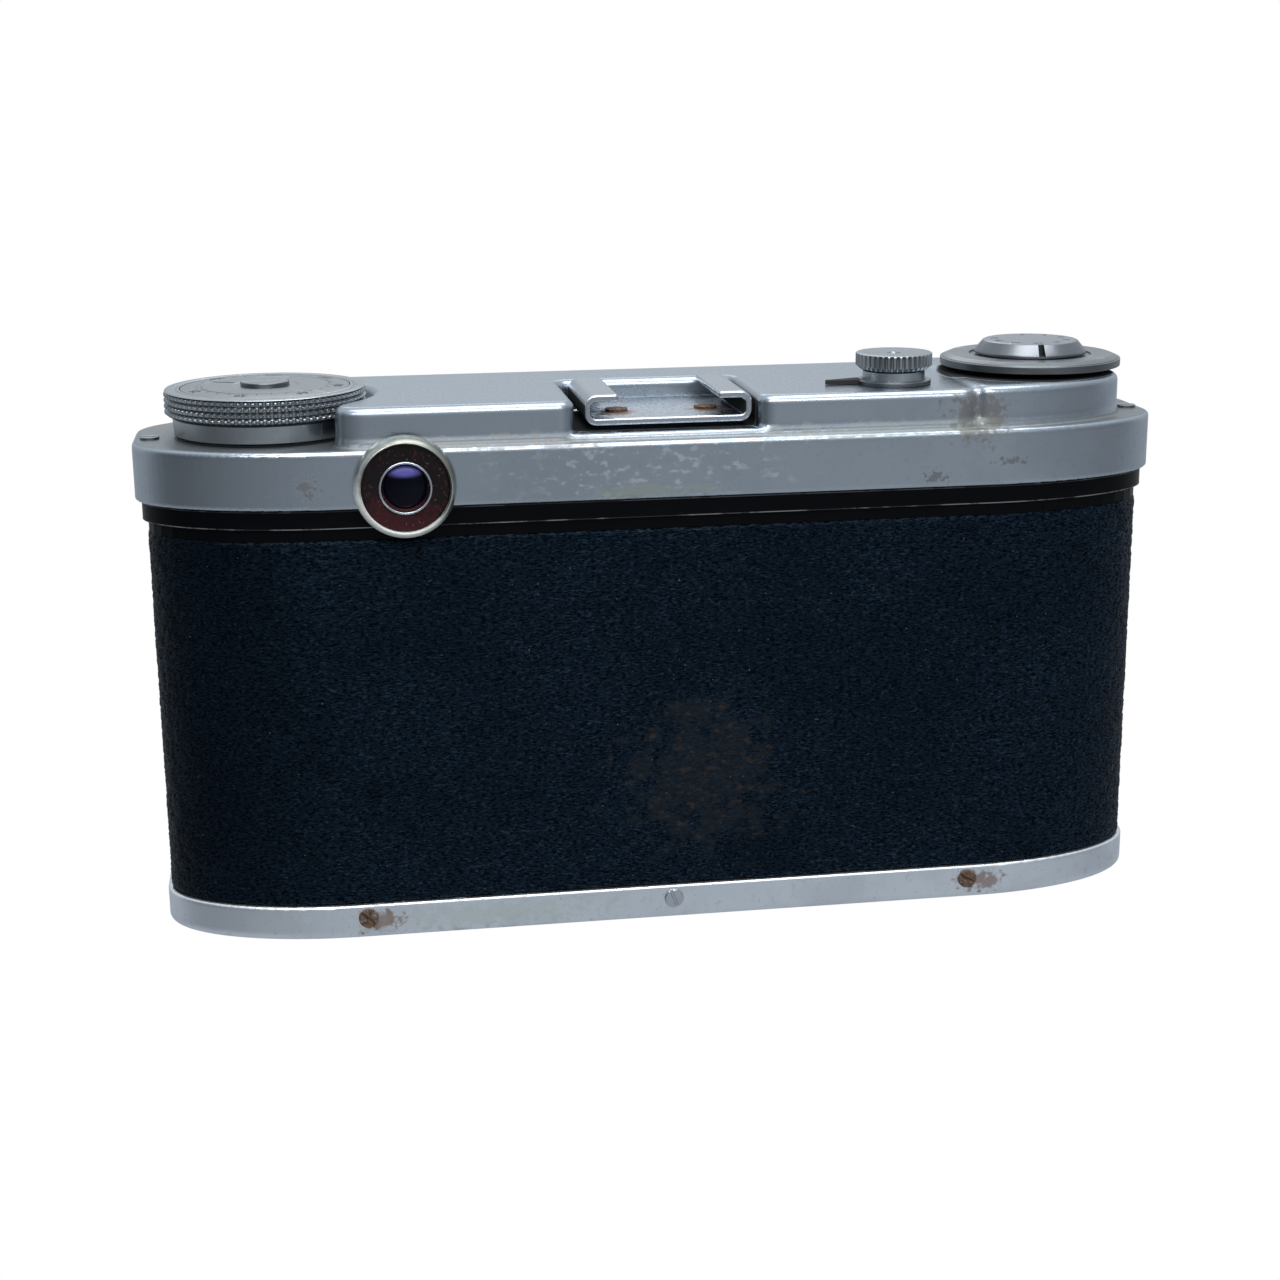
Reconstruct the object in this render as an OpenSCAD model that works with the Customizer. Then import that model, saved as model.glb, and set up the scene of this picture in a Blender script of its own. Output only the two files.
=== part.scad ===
// 35 mm rangefinder camera: leaf-shutter lens, top-mounted knobs and a back that slides off downwards.
// Millimetres. +Z is up, the lens points along -Y, and the origin is the mouth of the tripod socket.

/* [Body] */
// Length of the top cover
body_length = 130; // [129:0.5:132]
// Depth of the top cover, without the lens
body_depth = 33; // [33:0.5:35]
// Length of the soft corner in plan
corner_length = 24.8; // [20:0.2:28]
// Depth of the soft corner in plan
corner_depth = 12.7; // [10:0.1:13.5]
// Height of the base plate's rim
rim_height = 4.5; // [4:0.1:4.6]
// Height of the top cover's lower edge
band_bottom = 55.2; // [55.2:0.1:55.6]
// Height of the lower deck
lower_deck = 62.3; // [61.8:0.1:62.4]
// Height of the raised deck
raised_deck = 67.2; // [67.2:0.1:68]
// Wall of the pressed covers
sheet = 1; // [0.8:0.1:1.1]
// Thickness of the leather covering
leather = 0.7; // [0.5:0.1:0.7]

/* [Knobs] */
// Distance from the lens axis to the rewind knob
rewind_x = 48.6; // [48.4:0.1:48.8]
// Radius of the rewind knob
rewind_r = 12.4; // [11:0.1:12.6]
// Distance from the lens axis to the advance knob
advance_x = 50; // [49.5:0.1:50.5]
// Radius of the advance knob
advance_r = 11.6; // [10.5:0.1:12]
// How far the big knobs lie behind the middle plane
knob_y = 0.8; // [0.6:0.1:0.9]
// Radius of the release button's head
release_head_r = 4.8; // [4.4:0.1:5]
// Travel of the release button
release_travel = 1.2; // [0.8:0.1:1.2]

/* [Finder] */
// Distance from the lens axis to the eyepiece
eyepiece_x = 32.5; // [31:0.1:33]
// Height of the eyepiece
eyepiece_z = 57.9; // [57.9:0.1:58.2]
// Radius of the eyepiece ring
eyepiece_r = 6.2; // [5.8:0.1:6.4]
// Distance between the finder window and the rangefinder window
rangefinder_base = 37.5; // [36:0.5:38]

/* [Lens] */
// Height of the lens axis, which is the middle of the film
lens_z = 29; // [29:0.1:29.2]
// Radius of the chrome mount ring
mount_r = 21.5; // [21:0.1:22]
// Radius of the shutter case
shutter_r = 19.5; // [19.4:0.1:19.7]
// Radius of the lens opening at the shutter
opening_r = 6; // [5:0.1:6]
// Number of iris blades
iris_blades = 5; // [5:1:5]
// Number of shutter blades
shutter_blades = 3; // [3:1:3]

/* [Film] */
// Width of the picture
gate_width = 36; // [24:12:36]
// Height of the picture
gate_height = 24; // [24:1:24]
// Height of a film cassette's chamber
cassette_height = 47; // [46.5:0.1:47]
// Radius of the sprocket wheels, for eight perforations a turn
sprocket_r = 6.05; // [6:0.01:6.1]

/* [Hidden] */
$fn = 64;
eps = 0.01;
slip = 0.05;                          // radial clearance of a running fit
half_x = body_length / 2;
half_y = body_depth / 2;
corner_steps = 12;

// insets of each layer from the top cover's outline
plate_inset = 0.8;
leather_inset = 1.2;
strip_inset = 0.8;
shell_inset = leather_inset + leather;
shell_wall = 0.8;
core_inset = shell_inset + shell_wall + 0.2;
seam_y = -6;                          // where the back shell ends and the front covering starts
back_top = 52.7;                      // top edge of the back shell
lip_height = 1.45;
chamber_bottom = 5.6;
chamber_top = chamber_bottom + cassette_height;
film_y = 9.05;                        // film plane
core_bottom = 1.3;
core_top = 56.5;

// raised deck
deck_rear = 15.5;
deck_front = -13.25;
deck_end = 60.5;
deck_start = 42.3;
deck_corner_length = 20.9;
deck_corner_depth = 11.5;
knob_bay_r = 13.9;
turret_rise = 0.3;
turret_start = 38;
notch_floor = 63.2;
notch_left = 11.7;
notch_right = -10.9;
notch_front = -3.2;
cover_screw_x = 62.9;
cover_screw_y = 2.5;
cover_screw_r = 0.6;

// accessory shoe
shoe_half = 10.4;
shoe_lip = 6.25;
shoe_sheet = 0.85;
shoe_rear = 13.5;
shoe_front = -2.6;
shoe_top = 67.6;
shoe_pad_height = 0.6;
shoe_pad_half = 8.9;
shoe_bottom = notch_floor + shoe_pad_height + 0.05;
shoe_bend_r = 1.5;
shoe_screw_x = 5.6;
shoe_screw_y = 7.5;
shoe_screw_r = 0.7;

// knobs
rewind_pos = [rewind_x, knob_y];
advance_pos = [-advance_x, knob_y];
release_pos = [-29.7, 8];
knob_neck_r = rewind_r - 0.9;
knurl_bottom = 65.1;
knurl_top = 68;
dial_r = rewind_r - 2;
shaft_r = 2;
disc_bottom = raised_deck + turret_rise + 0.7;
disc_rim_top = disc_bottom + 0.95;
disc_top = disc_bottom + 1.4;
counter_r = 7.2;
counter_top_r = 6.1;
counter_height = 1.75;
advance_shaft_r = 2.5;
advance_collar_r = 4;
idler_pin_r = 1.2;
sprocket_foot_r = 1.5;
spool_flange_r = 10.6;
release_neck_r = 3.9;
release_head_bottom = 69.1;
release_rod_r = 1.2;
release_rod_end = 53.4;

// gear train from the advance shaft to the film sprocket
gear_module = 0.5;
advance_teeth = 32;
idler_teeth = 24;
sprocket_teeth = 12;
gear_z = 57.6;
gear_t = 1.8;
gear_slack = 14;                      // backlash, in degrees on a gear of one tooth
sprocket_y = film_y - sprocket_r;
train_length = gear_module * (advance_teeth + 2 * idler_teeth + sprocket_teeth) / 2;
train_dx = sqrt(pow(train_length, 2) - pow(sprocket_y - knob_y, 2));
sprocket_pos = [-advance_x + train_dx, sprocket_y];
train_angle = atan2(sprocket_y - knob_y, train_dx);
idler_reach = gear_module * (advance_teeth + idler_teeth) / 2;
idler_pos = advance_pos + idler_reach * [cos(train_angle), sin(train_angle)];
perforation_offset = 14.1;

// lens stack, measured forward from the middle plane
core_front = half_y - shell_inset;
mount_back = core_front + 0.05;
mount_front = 17.3;
guide_r = 16;
guide_front = 22.4;
sleeve_r = 15.1;
sleeve_back = 12;
case_back = 22.9;
case_front = 27;
case_floor = 0.9;
cavity_r = 17.6;
hub_r = 15.5;
hub_front = 33.2;
iris_bay_r = 12.5;
iris_z = 27.6;
cell_back = 29.1;
cell_front = 36;
cell_r = 14.6;
rear_glass_r = 8;
front_glass_r = 8.3;

// shutter blades: a disc on an arm that covers a third of the opening
blade_disc_r = 5.6;
blade_offset = 4.2;
blade_pivot_r = 12.3;
blade_pivot_angle = 60;
blade_pitch = 0.6;
blade_t = 0.3;
blade_pin_r = 0.5;

// iris blades: crescents that lie outside the opening when it is fully open
iris_inner = opening_r + 0.2;
iris_outer = 10.6;
iris_pivot_r = 8.4;
iris_pin_r = 0.45;
iris_tail = 4;
iris_span = 54;
iris_pitch = 0.26;
iris_t = 0.16;

// rangefinder
finder_y = -3;
mirror_x = eyepiece_x - rangefinder_base;
follower_y = -11.1;

// back lock keys
key_x = 44;
key_r = 7;
key_bay_r = 7.9;

// screws and tripod socket in the base
base_screw_xs = [-39, 0, 39];
base_screw_z = 2.8;
base_screw_hole_r = 0.7;
socket_r = 5;
socket_bore_r = 2.6;                  // clears a 1/4-20 thread
socket_flange_r = 6.2;

// ---- helpers -------------------------------------------------------------------------------

// One quarter of a rectangle with elliptical corners, from the +X side round to the +Y side.
function quarter(hx, hy, a, b) = [
    for (i = [0:corner_steps])
        let (t = 90 * i / corner_steps)
        [hx - a + a * cos(t), hy - b + b * sin(t)]
];

function mirror_x_of(points) = [for (i = [len(points) - 1:-1:0]) [-points[i][0], points[i][1]]];

function mirror_y_of(points) = [for (i = [len(points) - 1:-1:0]) [points[i][0], -points[i][1]]];

function soft_rectangle(hx, hy, a, b) =
    let (first = quarter(hx, hy, a, b), upper = concat(first, mirror_x_of(first)))
    concat(upper, mirror_y_of(upper));

// The camera's outline in plan, grown outwards by the given distance.
module plan(grow = 0) {
    polygon(soft_rectangle(half_x + grow, half_y + grow, corner_length + grow, corner_depth + grow));
}

module slab(z0, z1, grow = 0) {
    translate([0, 0, z0])
        linear_extrude(z1 - z0)
            plan(grow);
}

// A wall that follows the outline between two insets.
module wall(z0, z1, outer, inner) {
    translate([0, 0, z0])
        linear_extrude(z1 - z0)
            difference() {
                plan(-outer);
                plan(-inner);
            }
}

module tube(r_out, r_in, z0, z1) {
    translate([0, 0, z0])
        linear_extrude(z1 - z0)
            difference() {
                circle(r_out);
                circle(r_in);
            }
}

module rod(r, z0, z1) {
    translate([0, 0, z0])
        cylinder(r = r, h = z1 - z0);
}

module block(low, high) {
    translate(low)
        cube(high - low);
}

module at(pos) {
    translate([pos[0], pos[1], 0])
        children();
}

// Local +Z points forward out of the lens, and local +Y points up.
module lens_frame() {
    translate([0, 0, lens_z])
        rotate([90, 0, 0])
            children();
}

// Local +Z points backwards along the line of sight of the eyepiece.
module eyepiece_frame() {
    translate([eyepiece_x, 0, eyepiece_z])
        rotate([-90, 0, 0])
            children();
}

module rear_half(y0) {
    intersection() {
        children();
        block([-half_x - 5, y0, -5], [half_x + 5, half_y + 5, raised_deck + 5]);
    }
}

module front_half(y0) {
    intersection() {
        children();
        block([-half_x - 5, -half_y - 5, -5], [half_x + 5, y0, raised_deck + 5]);
    }
}

function involute(angle) = tan(angle) * 180 / PI - angle;

function flank(r, teeth, slack) =
    let (base_r = gear_module * teeth / 2 * cos(20))
    90 / teeth - slack + involute(20) - (r > base_r ? involute(acos(base_r / r)) : 0);

function on_circle(r, angle) = [r * cos(angle), r * sin(angle)];

// A spur gear's outline with involute flanks; the first tooth points along +X turned by phase.
function gear_points(teeth, phase) =
    let (
        pitch_r = gear_module * teeth / 2,
        radii = [for (i = [0:4]) pitch_r - gear_module * 1.2 + i * gear_module * 1.95 / 4],
        slack = gear_slack / teeth
    )
    [
        for (k = [0:teeth - 1])
            for (s = [-1, 1])
                for (i = [0:4])
                    let (r = radii[s < 0 ? i : 4 - i])
                    on_circle(r, phase + 360 * k / teeth + s * flank(r, teeth, slack))
    ];

module gear(teeth, bore, phase) {
    translate([0, 0, gear_z])
        linear_extrude(gear_t)
            difference() {
                polygon(gear_points(teeth, phase));
                circle(bore);
            }
}

// A coil of round wire along +Z, as a tube with six sides.
module coil(r, wire, z0, z1, turns) {
    steps = turns * 16;
    sides = 6;
    rings = [
        for (i = [0:steps])
            for (j = [0:sides - 1])
                let (
                    t = 360 * turns * i / steps,
                    out = r + wire * cos(360 * j / sides),
                    up = z0 + wire + (z1 - z0 - 2 * wire) * i / steps + wire * sin(360 * j / sides)
                )
                [out * cos(t), out * sin(t), up]
    ];
    skin = [
        for (i = [0:steps - 1])
            for (j = [0:sides - 1])
                let (a = i * sides + j, b = i * sides + (j + 1) % sides)
                [a, a + sides, b + sides, b]
    ];
    first = [for (j = [0:sides - 1]) j];
    last = [for (j = [sides - 1:-1:0]) steps * sides + j];
    polyhedron(rings, concat(skin, [first], [last]));
}

// A small round-headed screw with a slot, head upwards; its shank goes down from z = 0.
module slotted_screw(head_r, head_t, shank_r, shank_l) {
    difference() {
        union() {
            rod(head_r, 0, head_t);
            rod(shank_r, -shank_l, eps);
        }
        block([-head_r, -head_r * 0.14, head_t * 0.4], [head_r, head_r * 0.14, head_t + 1]);
    }
}

// ---- body ----------------------------------------------------------------------------------

module body_casting() color("#1b1b1e") difference() {
    union() {
        front_half(film_y)
            slab(core_bottom, band_bottom, -core_inset);
        front_half(seam_y - 0.15)
            slab(rim_height + 0.2, back_top + 0.1, -shell_inset);
        slab(back_top + slip, band_bottom, -strip_inset);
        slab(band_bottom - eps, core_top, -sheet - slip);
    }
    // film chambers, open to the rear
    at(rewind_pos)
        rod(12.9, chamber_bottom, chamber_top);
    block([rewind_x - 12, knob_y, chamber_bottom], [rewind_x + 12.6, 20, chamber_top - 0.3]);
    at(advance_pos)
        rod(11.5, chamber_bottom, chamber_top);
    block([-advance_x - 11, knob_y, chamber_bottom], [-advance_x + 11, 20, chamber_top - 0.3]);
    at(sprocket_pos)
        rod(sprocket_r + 1.6, chamber_bottom + 2, chamber_top - 2);
    // light chamber behind the lens
    block([-gate_width / 2, -10, lens_z - gate_height / 2], [gate_width / 2, 20, lens_z + gate_height / 2]);
    lens_frame()
        rod(sleeve_r + 0.3, 9, 20);
    // slot for the rangefinder follower
    block([mirror_x - 3, follower_y - 1.4, lens_z + 11], [mirror_x + 8, follower_y + 2.4, core_top + 1]);
    // finder trough
    block([mirror_x - 6.4, -11.4, 54], [eyepiece_x + 6.2, 11.4, core_top + 1]);
    block([eyepiece_x - 3, 10, 55], [eyepiece_x + 3, 18, core_top + 1]);
    // shaft holes
    at(rewind_pos)
        rod(2.9, chamber_top - 1, core_top + 1);
    at(rewind_pos)
        rod(4.4, band_bottom, core_top + 1);
    at(advance_pos)
        rod(advance_shaft_r + slip, chamber_top - 1, core_top + 1);
    at(sprocket_pos)
        rod(shaft_r + slip, chamber_bottom, core_top + 1);
    at(sprocket_pos)
        rod(sprocket_foot_r + slip, 3, chamber_bottom + 3);
    at(idler_pos)
        rod(idler_pin_r + slip, band_bottom - 0.5, core_top + 1);
    at(release_pos)
        rod(release_rod_r + 0.1, back_top - 1, core_top + 1);
    for (side = [-1, 1])
        translate([side * cover_screw_x, cover_screw_y, 0])
            rod(cover_screw_r + slip, 53, core_top + 1);
    // bays of the lock keys
    for (side = [-1, 1])
        translate([side * key_x, 0, 0])
            rod(key_bay_r, 0, chamber_bottom - 0.6);
    // pocket of the tripod socket, open to the rear
    block([-socket_flange_r - 0.2, -socket_flange_r - 0.2, 0], [socket_flange_r + 0.2, 20, 8]);
}

module front_covering() color("#16181f") difference() {
    front_half(seam_y - 0.15)
        wall(rim_height + 0.25, back_top - 0.05, leather_inset, shell_inset);
    lens_frame()
        rod(mount_r + 0.1, 5, 30);
}

module deck_outline(grow = 0) {
    deck_mid = (deck_rear + deck_front) / 2;
    deck_half = (deck_rear - deck_front) / 2;
    difference() {
        intersection() {
            translate([0, deck_mid])
                polygon(soft_rectangle(deck_end + grow, deck_half + grow,
                                       deck_corner_length + grow, deck_corner_depth + grow));
            translate([-70, -30])
                square([70 + deck_start + grow, 60]);
        }
        at(rewind_pos)
            circle(knob_bay_r - grow);
    }
}

module turret_outline(grow = 0) {
    intersection() {
        deck_outline(grow);
        translate([-80, -30])
            square([80 - turret_start + grow, 60]);
    }
}

module shoe_notch(grow = 0) {
    block([notch_right - grow, notch_front - grow, notch_floor - grow],
          [notch_left + grow, half_y + 2, raised_deck + 3]);
}

module shoe_pad() {
    block([-shoe_pad_half, shoe_front + 0.6, notch_floor - 0.5],
          [shoe_pad_half, shoe_rear - 1.5, notch_floor + shoe_pad_height]);
}

module cover_shape() {
    slab(band_bottom, lower_deck);
    translate([0, 0, band_bottom + 1])
        linear_extrude(raised_deck - band_bottom - 1)
            deck_outline();
    translate([0, 0, band_bottom + 1])
        linear_extrude(raised_deck + turret_rise - band_bottom - 1)
            turret_outline();
}

module cover_hollow() {
    slab(band_bottom - 1, lower_deck - sheet, -sheet);
    difference() {
        union() {
            translate([0, 0, lower_deck - sheet - 1])
                linear_extrude(raised_deck - lower_deck + 1)
                    deck_outline(-sheet);
            translate([0, 0, lower_deck - sheet - 1])
                linear_extrude(raised_deck + turret_rise - lower_deck + 1)
                    turret_outline(-sheet);
        }
        shoe_notch(sheet);
    }
}

module top_cover() color("#b9bec6") difference() {
    union() {
        difference() {
            cover_shape();
            cover_hollow();
            shoe_notch();
        }
        shoe_pad();
    }
    at(rewind_pos)
        rod(3 + slip, lower_deck - 3, lower_deck + 1);
    at(advance_pos)
        rod(advance_collar_r + slip, raised_deck - 1, raised_deck + 2);
    at(release_pos)
        rod(release_neck_r + slip, raised_deck - 2, raised_deck + 1);
    eyepiece_frame()
        rod(2.6, half_y - 3, half_y + 1);
    block([eyepiece_x - 4.5, -half_y - 1, 56.2], [eyepiece_x + 4.5, -half_y + 3, 60.4]);
    block([mirror_x - 2.4, -half_y - 1, 56.4], [mirror_x + 2.4, -half_y + 3, 60.2]);
    for (side = [-1, 1])
        translate([side * cover_screw_x, cover_screw_y, 0])
            rod(cover_screw_r + slip, lower_deck - 2, lower_deck + 1);
    for (side = [-1, 1])
        translate([side * shoe_screw_x, shoe_screw_y, 0])
            rod(shoe_screw_r + slip, notch_floor - 2, notch_floor + 1);
}

module top_cover_screws() color("#8d8f92")
    for (side = [-1, 1])
        translate([side * cover_screw_x, cover_screw_y, lower_deck])
            slotted_screw(1.2, 0.3, cover_screw_r, 7.5);

// ---- accessory shoe ------------------------------------------------------------------------

module accessory_shoe() color("#b4b9c0") difference() {
    translate([0, shoe_rear, 0])
        rotate([90, 0, 0])
            linear_extrude(shoe_rear - shoe_front)
                difference() {
                    union() {
                        translate([-shoe_half, shoe_bottom + shoe_bend_r])
                            square([2 * shoe_half, shoe_top - shoe_bottom - 2 * shoe_bend_r]);
                        translate([-shoe_half + shoe_bend_r, shoe_bottom])
                            square([2 * (shoe_half - shoe_bend_r), shoe_top - shoe_bottom]);
                        for (side = [-1, 1])
                            for (level = [shoe_bottom + shoe_bend_r, shoe_top - shoe_bend_r])
                                translate([side * (shoe_half - shoe_bend_r), level])
                                    circle(shoe_bend_r);
                    }
                    translate([-shoe_half + shoe_sheet, shoe_bottom + shoe_sheet])
                        square([2 * (shoe_half - shoe_sheet), shoe_top - shoe_bottom - 2 * shoe_sheet]);
                    translate([-shoe_lip, shoe_bottom + shoe_sheet])
                        square([2 * shoe_lip, shoe_top]);
                }
    for (side = [-1, 1])
        translate([side * shoe_screw_x, shoe_screw_y, 0])
            rod(shoe_screw_r + slip, shoe_bottom - 1, shoe_bottom + 2);
}

module shoe_screws() color("#6b4a34")
    for (side = [-1, 1])
        translate([side * shoe_screw_x, shoe_screw_y, shoe_bottom + shoe_sheet])
            slotted_screw(1.4, 0.35, shoe_screw_r, 2.4);

// ---- eyepiece and finder -------------------------------------------------------------------

module eyepiece_ring() color("#b9bcc2") eyepiece_frame() difference() {
    translate([0, 0, half_y])
        cylinder(r1 = eyepiece_r, r2 = eyepiece_r - 0.35, h = 2.2);
    rod(5.35, half_y - 1, half_y + 3);
}

module eyepiece_insert() color("#2a1518") eyepiece_frame() difference() {
    union() {
        rod(5.3, half_y + 0.05, half_y + 1.3);
        rod(3.3, half_y + 1, half_y + 1.75);
    }
    rod(2.85, half_y + 0.55, half_y + 3);
    rod(2.4, half_y - 1, half_y + 1);
}

module eyepiece_lens() color("#3a2f6b") eyepiece_frame() intersection() {
    rod(2.8, half_y + 0.6, half_y + 1.9);
    translate([0, 0, half_y - 7.4])
        sphere(9);
}

module viewfinder_window() color("#9fb3c0")
    block([eyepiece_x - 4.45, -half_y + 0.2, 56.25], [eyepiece_x + 4.45, -half_y + 1, 60.35]);

module rangefinder_window() color("#c9a24f")
    block([mirror_x - 2.35, -half_y + 0.2, 56.45], [mirror_x + 2.35, -half_y + 1, 60.15]);

module finder_housing() color("#202124") difference() {
    block([mirror_x - 6, -11, 54.2], [eyepiece_x + 6, 11, 60.6]);
    block([mirror_x - 5.2, -10.2, 55], [eyepiece_x + 5.2, 10.2, 62]);
    block([eyepiece_x - 4.2, -12, 55], [eyepiece_x + 4.2, -9, 62]);
    block([mirror_x - 3.2, -12, 54], [mirror_x + 8.4, -8.4, 62]);
    block([eyepiece_x - 2.8, 9, 55.2], [eyepiece_x + 2.8, 12, 62]);
    translate([mirror_x, finder_y, 0])
        rod(0.8 + slip, 53, 56);
}

module beam_splitter() color("#a8c4c8")
    translate([eyepiece_x, finder_y, 0])
        rotate([0, 0, 45])
            block([-4.4, -0.4, 55.1], [4.4, 0.4, 60.5]);

// The arm turns on a pin in the finder trough, and its rod feels the rear of the lens.
module mirror_arm() color("#8b7a4b") {
    translate([mirror_x, finder_y, 0]) {
        rod(0.8, 54.3, 55.2);
        rod(2.6, 55.1, 55.7);
        block([-0.9, follower_y - finder_y, 55.1], [0.9, 0, 55.7]);
        block([-0.9, follower_y - finder_y, 55.1], [6, follower_y - finder_y + 1.6, 55.7]);
    }
    translate([mirror_x + 5.2, follower_y, 0])
        rod(0.8, lens_z + 12, 55.7);
}

module rangefinder_mirror() color("#cfd6dc")
    translate([mirror_x, finder_y, 0])
        rotate([0, 0, 45])
            block([-2.6, -0.4, 55.75], [2.6, 0.4, 60.3]);

// ---- lens and shutter ----------------------------------------------------------------------

module lens_mount_ring() color("#c2c5ca") lens_frame() {
    tube(mount_r, sleeve_r + 0.1, mount_back, mount_front);
    tube(guide_r, sleeve_r + 0.1, mount_front - eps, guide_front);
}

module focusing_ring() color("#b7bac0") lens_frame() {
    tube(mount_r - 1.1, guide_r + slip, mount_front + 0.1, guide_front - 0.1);
    rotate([0, 0, -150])
        block([mount_r - 1.6, -2.2, mount_front + 1.2], [mount_r + 1.6, 2.2, guide_front - 1.2]);
}

module shutter_housing() color("#2b2c30") lens_frame() difference() {
    union() {
        rod(sleeve_r, sleeve_back, case_back + eps);
        rod(shutter_r, case_back, case_front);
    }
    rod(cavity_r, case_back + case_floor, case_front + 1);
    rod(opening_r + 0.2, sleeve_back, case_front);
    rod(rear_glass_r + 0.05, sleeve_back - 1, case_back - 1);
    rod(11, sleeve_back - 1, sleeve_back + 4);
    rotate([0, 0, -45])
        translate([0, 0, case_front - 1.9])
            rotate([0, 90, 0])
                rod(1.3, cavity_r - 1, shutter_r + 1);
    for (k = [0:shutter_blades - 1])
        rotate([0, 0, blade_pivot_angle + 360 * k / shutter_blades])
            translate([blade_pivot_r, 0, 0])
                rod(blade_pin_r, case_back + 0.2, case_back + 2);
    rotate([0, 0, 205])
        translate([shutter_r - 0.95, 0, 0])
            rod(0.6, case_front - 1, case_front + 1);
}

// Front plate of the shutter with the hub that carries the setting rings.
module shutter_cover() color("#33343a") lens_frame() {
    difference() {
        union() {
            rod(cavity_r - 0.1, case_front - 0.6, case_front);
            rod(hub_r, case_front - eps, hub_front);
        }
        rod(opening_r + 0.2, case_front - 1, hub_front);
        rod(iris_bay_r, iris_z, hub_front + 1);
    }
    for (k = [0:iris_blades - 1])
        rotate([0, 0, 360 * k / iris_blades])
            translate([iris_pivot_r, 0, 0])
                rod(iris_pin_r, iris_z - 0.1, cell_back - 0.1);
}

module front_cell() color("#1f2023") lens_frame() difference() {
    union() {
        rod(iris_bay_r - 0.1, cell_back, hub_front + 0.1);
        rod(cell_r, hub_front + 0.1, cell_front);
    }
    rod(7, cell_back - 1, cell_front);
    rod(front_glass_r + 0.05, cell_back + 2, cell_front);
    translate([0, 0, cell_front - 1.6])
        cylinder(r1 = front_glass_r + 0.3, r2 = cell_r - 1.1, h = 1.65);
}

module front_element() color("#4a3f78") lens_frame() intersection() {
    rod(front_glass_r, cell_back + 2.05, cell_front);
    translate([0, 0, cell_front - 1.3 - 20])
        sphere(20);
}

module rear_element() color("#46507c") lens_frame() intersection() {
    rod(rear_glass_r, sleeve_back + 4.6, case_back - 1.05);
    translate([0, 0, sleeve_back + 4.7 + 24])
        sphere(24);
}

module flash_socket() color("#c2c5ca") lens_frame()
    rotate([0, 0, -45])
        translate([0, 0, case_front - 1.9])
            rotate([0, 90, 0])
                difference() {
                    union() {
                        rod(1.25, cavity_r + 0.1, shutter_r + 0.3);
                        rod(1.8, shutter_r + 0.2, shutter_r + 3.4);
                    }
                    rod(1.3, shutter_r + 1.4, shutter_r + 4);
                    rod(0.5, shutter_r + 1, shutter_r + 2);
                }

module speed_ring() color("#b7bac0") lens_frame()
    tube(shutter_r + 0.3, hub_r + slip, case_front + 1, case_front + 3.6);

module aperture_ring() color("#24252a") lens_frame() {
    tube(hub_r + 2.3, hub_r + slip, case_front + 3.8, case_front + 6);
    rotate([0, 0, 120])
        block([hub_r + 2, -1, case_front + 4.2], [hub_r + 4.6, 1, case_front + 5.4]);
}

module cocking_lever() color("#c2c5ca") lens_frame() {
    tube(hub_r + 1.7, hub_r + slip, case_front + 0.1, case_front + 0.8);
    rotate([0, 0, 75]) {
        block([hub_r + 1.4, -1.1, case_front + 0.1], [shutter_r + 2.6, 1.1, case_front + 0.8]);
        block([shutter_r + 1.2, -1.6, case_front + 0.1], [shutter_r + 2.6, 1.6, case_front + 2.2]);
    }
}

module shutter_release_lever() color("#c2c5ca") lens_frame()
    rotate([0, 0, 205])
        translate([shutter_r - 0.95, 0, 0]) {
            rod(0.6 - slip, case_front - 0.9, case_front + 0.2);
            rod(1.1, case_front + 0.1, case_front + 0.8);
            block([0, -0.9, case_front + 0.1], [5.2, 0.9, case_front + 0.8]);
        }

module shutter_blade(k) color("#4a4c52") lens_frame()
    rotate([0, 0, 360 * k / shutter_blades])
        translate([0, 0, case_back + case_floor + 0.2 + k * blade_pitch]) {
            pivot = on_circle(blade_pivot_r, blade_pivot_angle);
            arm = pivot - [blade_offset, 0];
            linear_extrude(blade_t)
                union() {
                    translate([blade_offset, 0])
                        circle(blade_disc_r);
                    translate([blade_offset, 0])
                        rotate([0, 0, atan2(arm[1], arm[0])])
                            translate([0, -1.6])
                                square([norm(arm), 3.2]);
                    translate(pivot)
                        circle(1.6);
                }
            translate([pivot[0], pivot[1], -k * blade_pitch - 0.8])
                cylinder(r = blade_pin_r - slip, h = k * blade_pitch + 0.9);
        }

module iris_blade(k) color("#3c3d42") lens_frame()
    rotate([0, 0, 360 * k / iris_blades])
        translate([0, 0, iris_z + 0.1 + k * iris_pitch])
            linear_extrude(iris_t)
                difference() {
                    intersection() {
                        difference() {
                            circle(iris_outer);
                            circle(iris_inner);
                        }
                        polygon([[0, 0], on_circle(20, -iris_tail - 4), on_circle(20, 25), on_circle(20, iris_span)]);
                    }
                    translate([iris_pivot_r, 0])
                        circle(iris_pin_r + slip);
                }

// ---- film transport ------------------------------------------------------------------------

module advance_knob() color("#b2b6bd") at(advance_pos) difference() {
    union() {
        rod(advance_r, disc_bottom, disc_rim_top);
        translate([0, 0, disc_rim_top - eps])
            cylinder(r1 = advance_r - 0.2, r2 = advance_r - 1, h = disc_top - disc_rim_top + eps);
        rod(advance_collar_r, 66.2, disc_bottom + eps);
    }
    rod(advance_shaft_r + 0.02, 60, 67.5);
    rod(1 + slip, 67, disc_top + 1);
    tube(8, counter_r + 0.1, disc_top - 0.3, disc_top + 1);
}

module advance_shaft() color("#9b9ea3") at(advance_pos) {
    rod(advance_shaft_r, 44, 67.45);
    gear(advance_teeth, 1, train_angle);
}

module idler_gear() color("#a8904f") at(idler_pos) {
    gear(idler_teeth, 1, train_angle + 180 / idler_teeth);
    rod(idler_pin_r, band_bottom - 0.4, gear_z + gear_t + 0.4);
}

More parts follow.
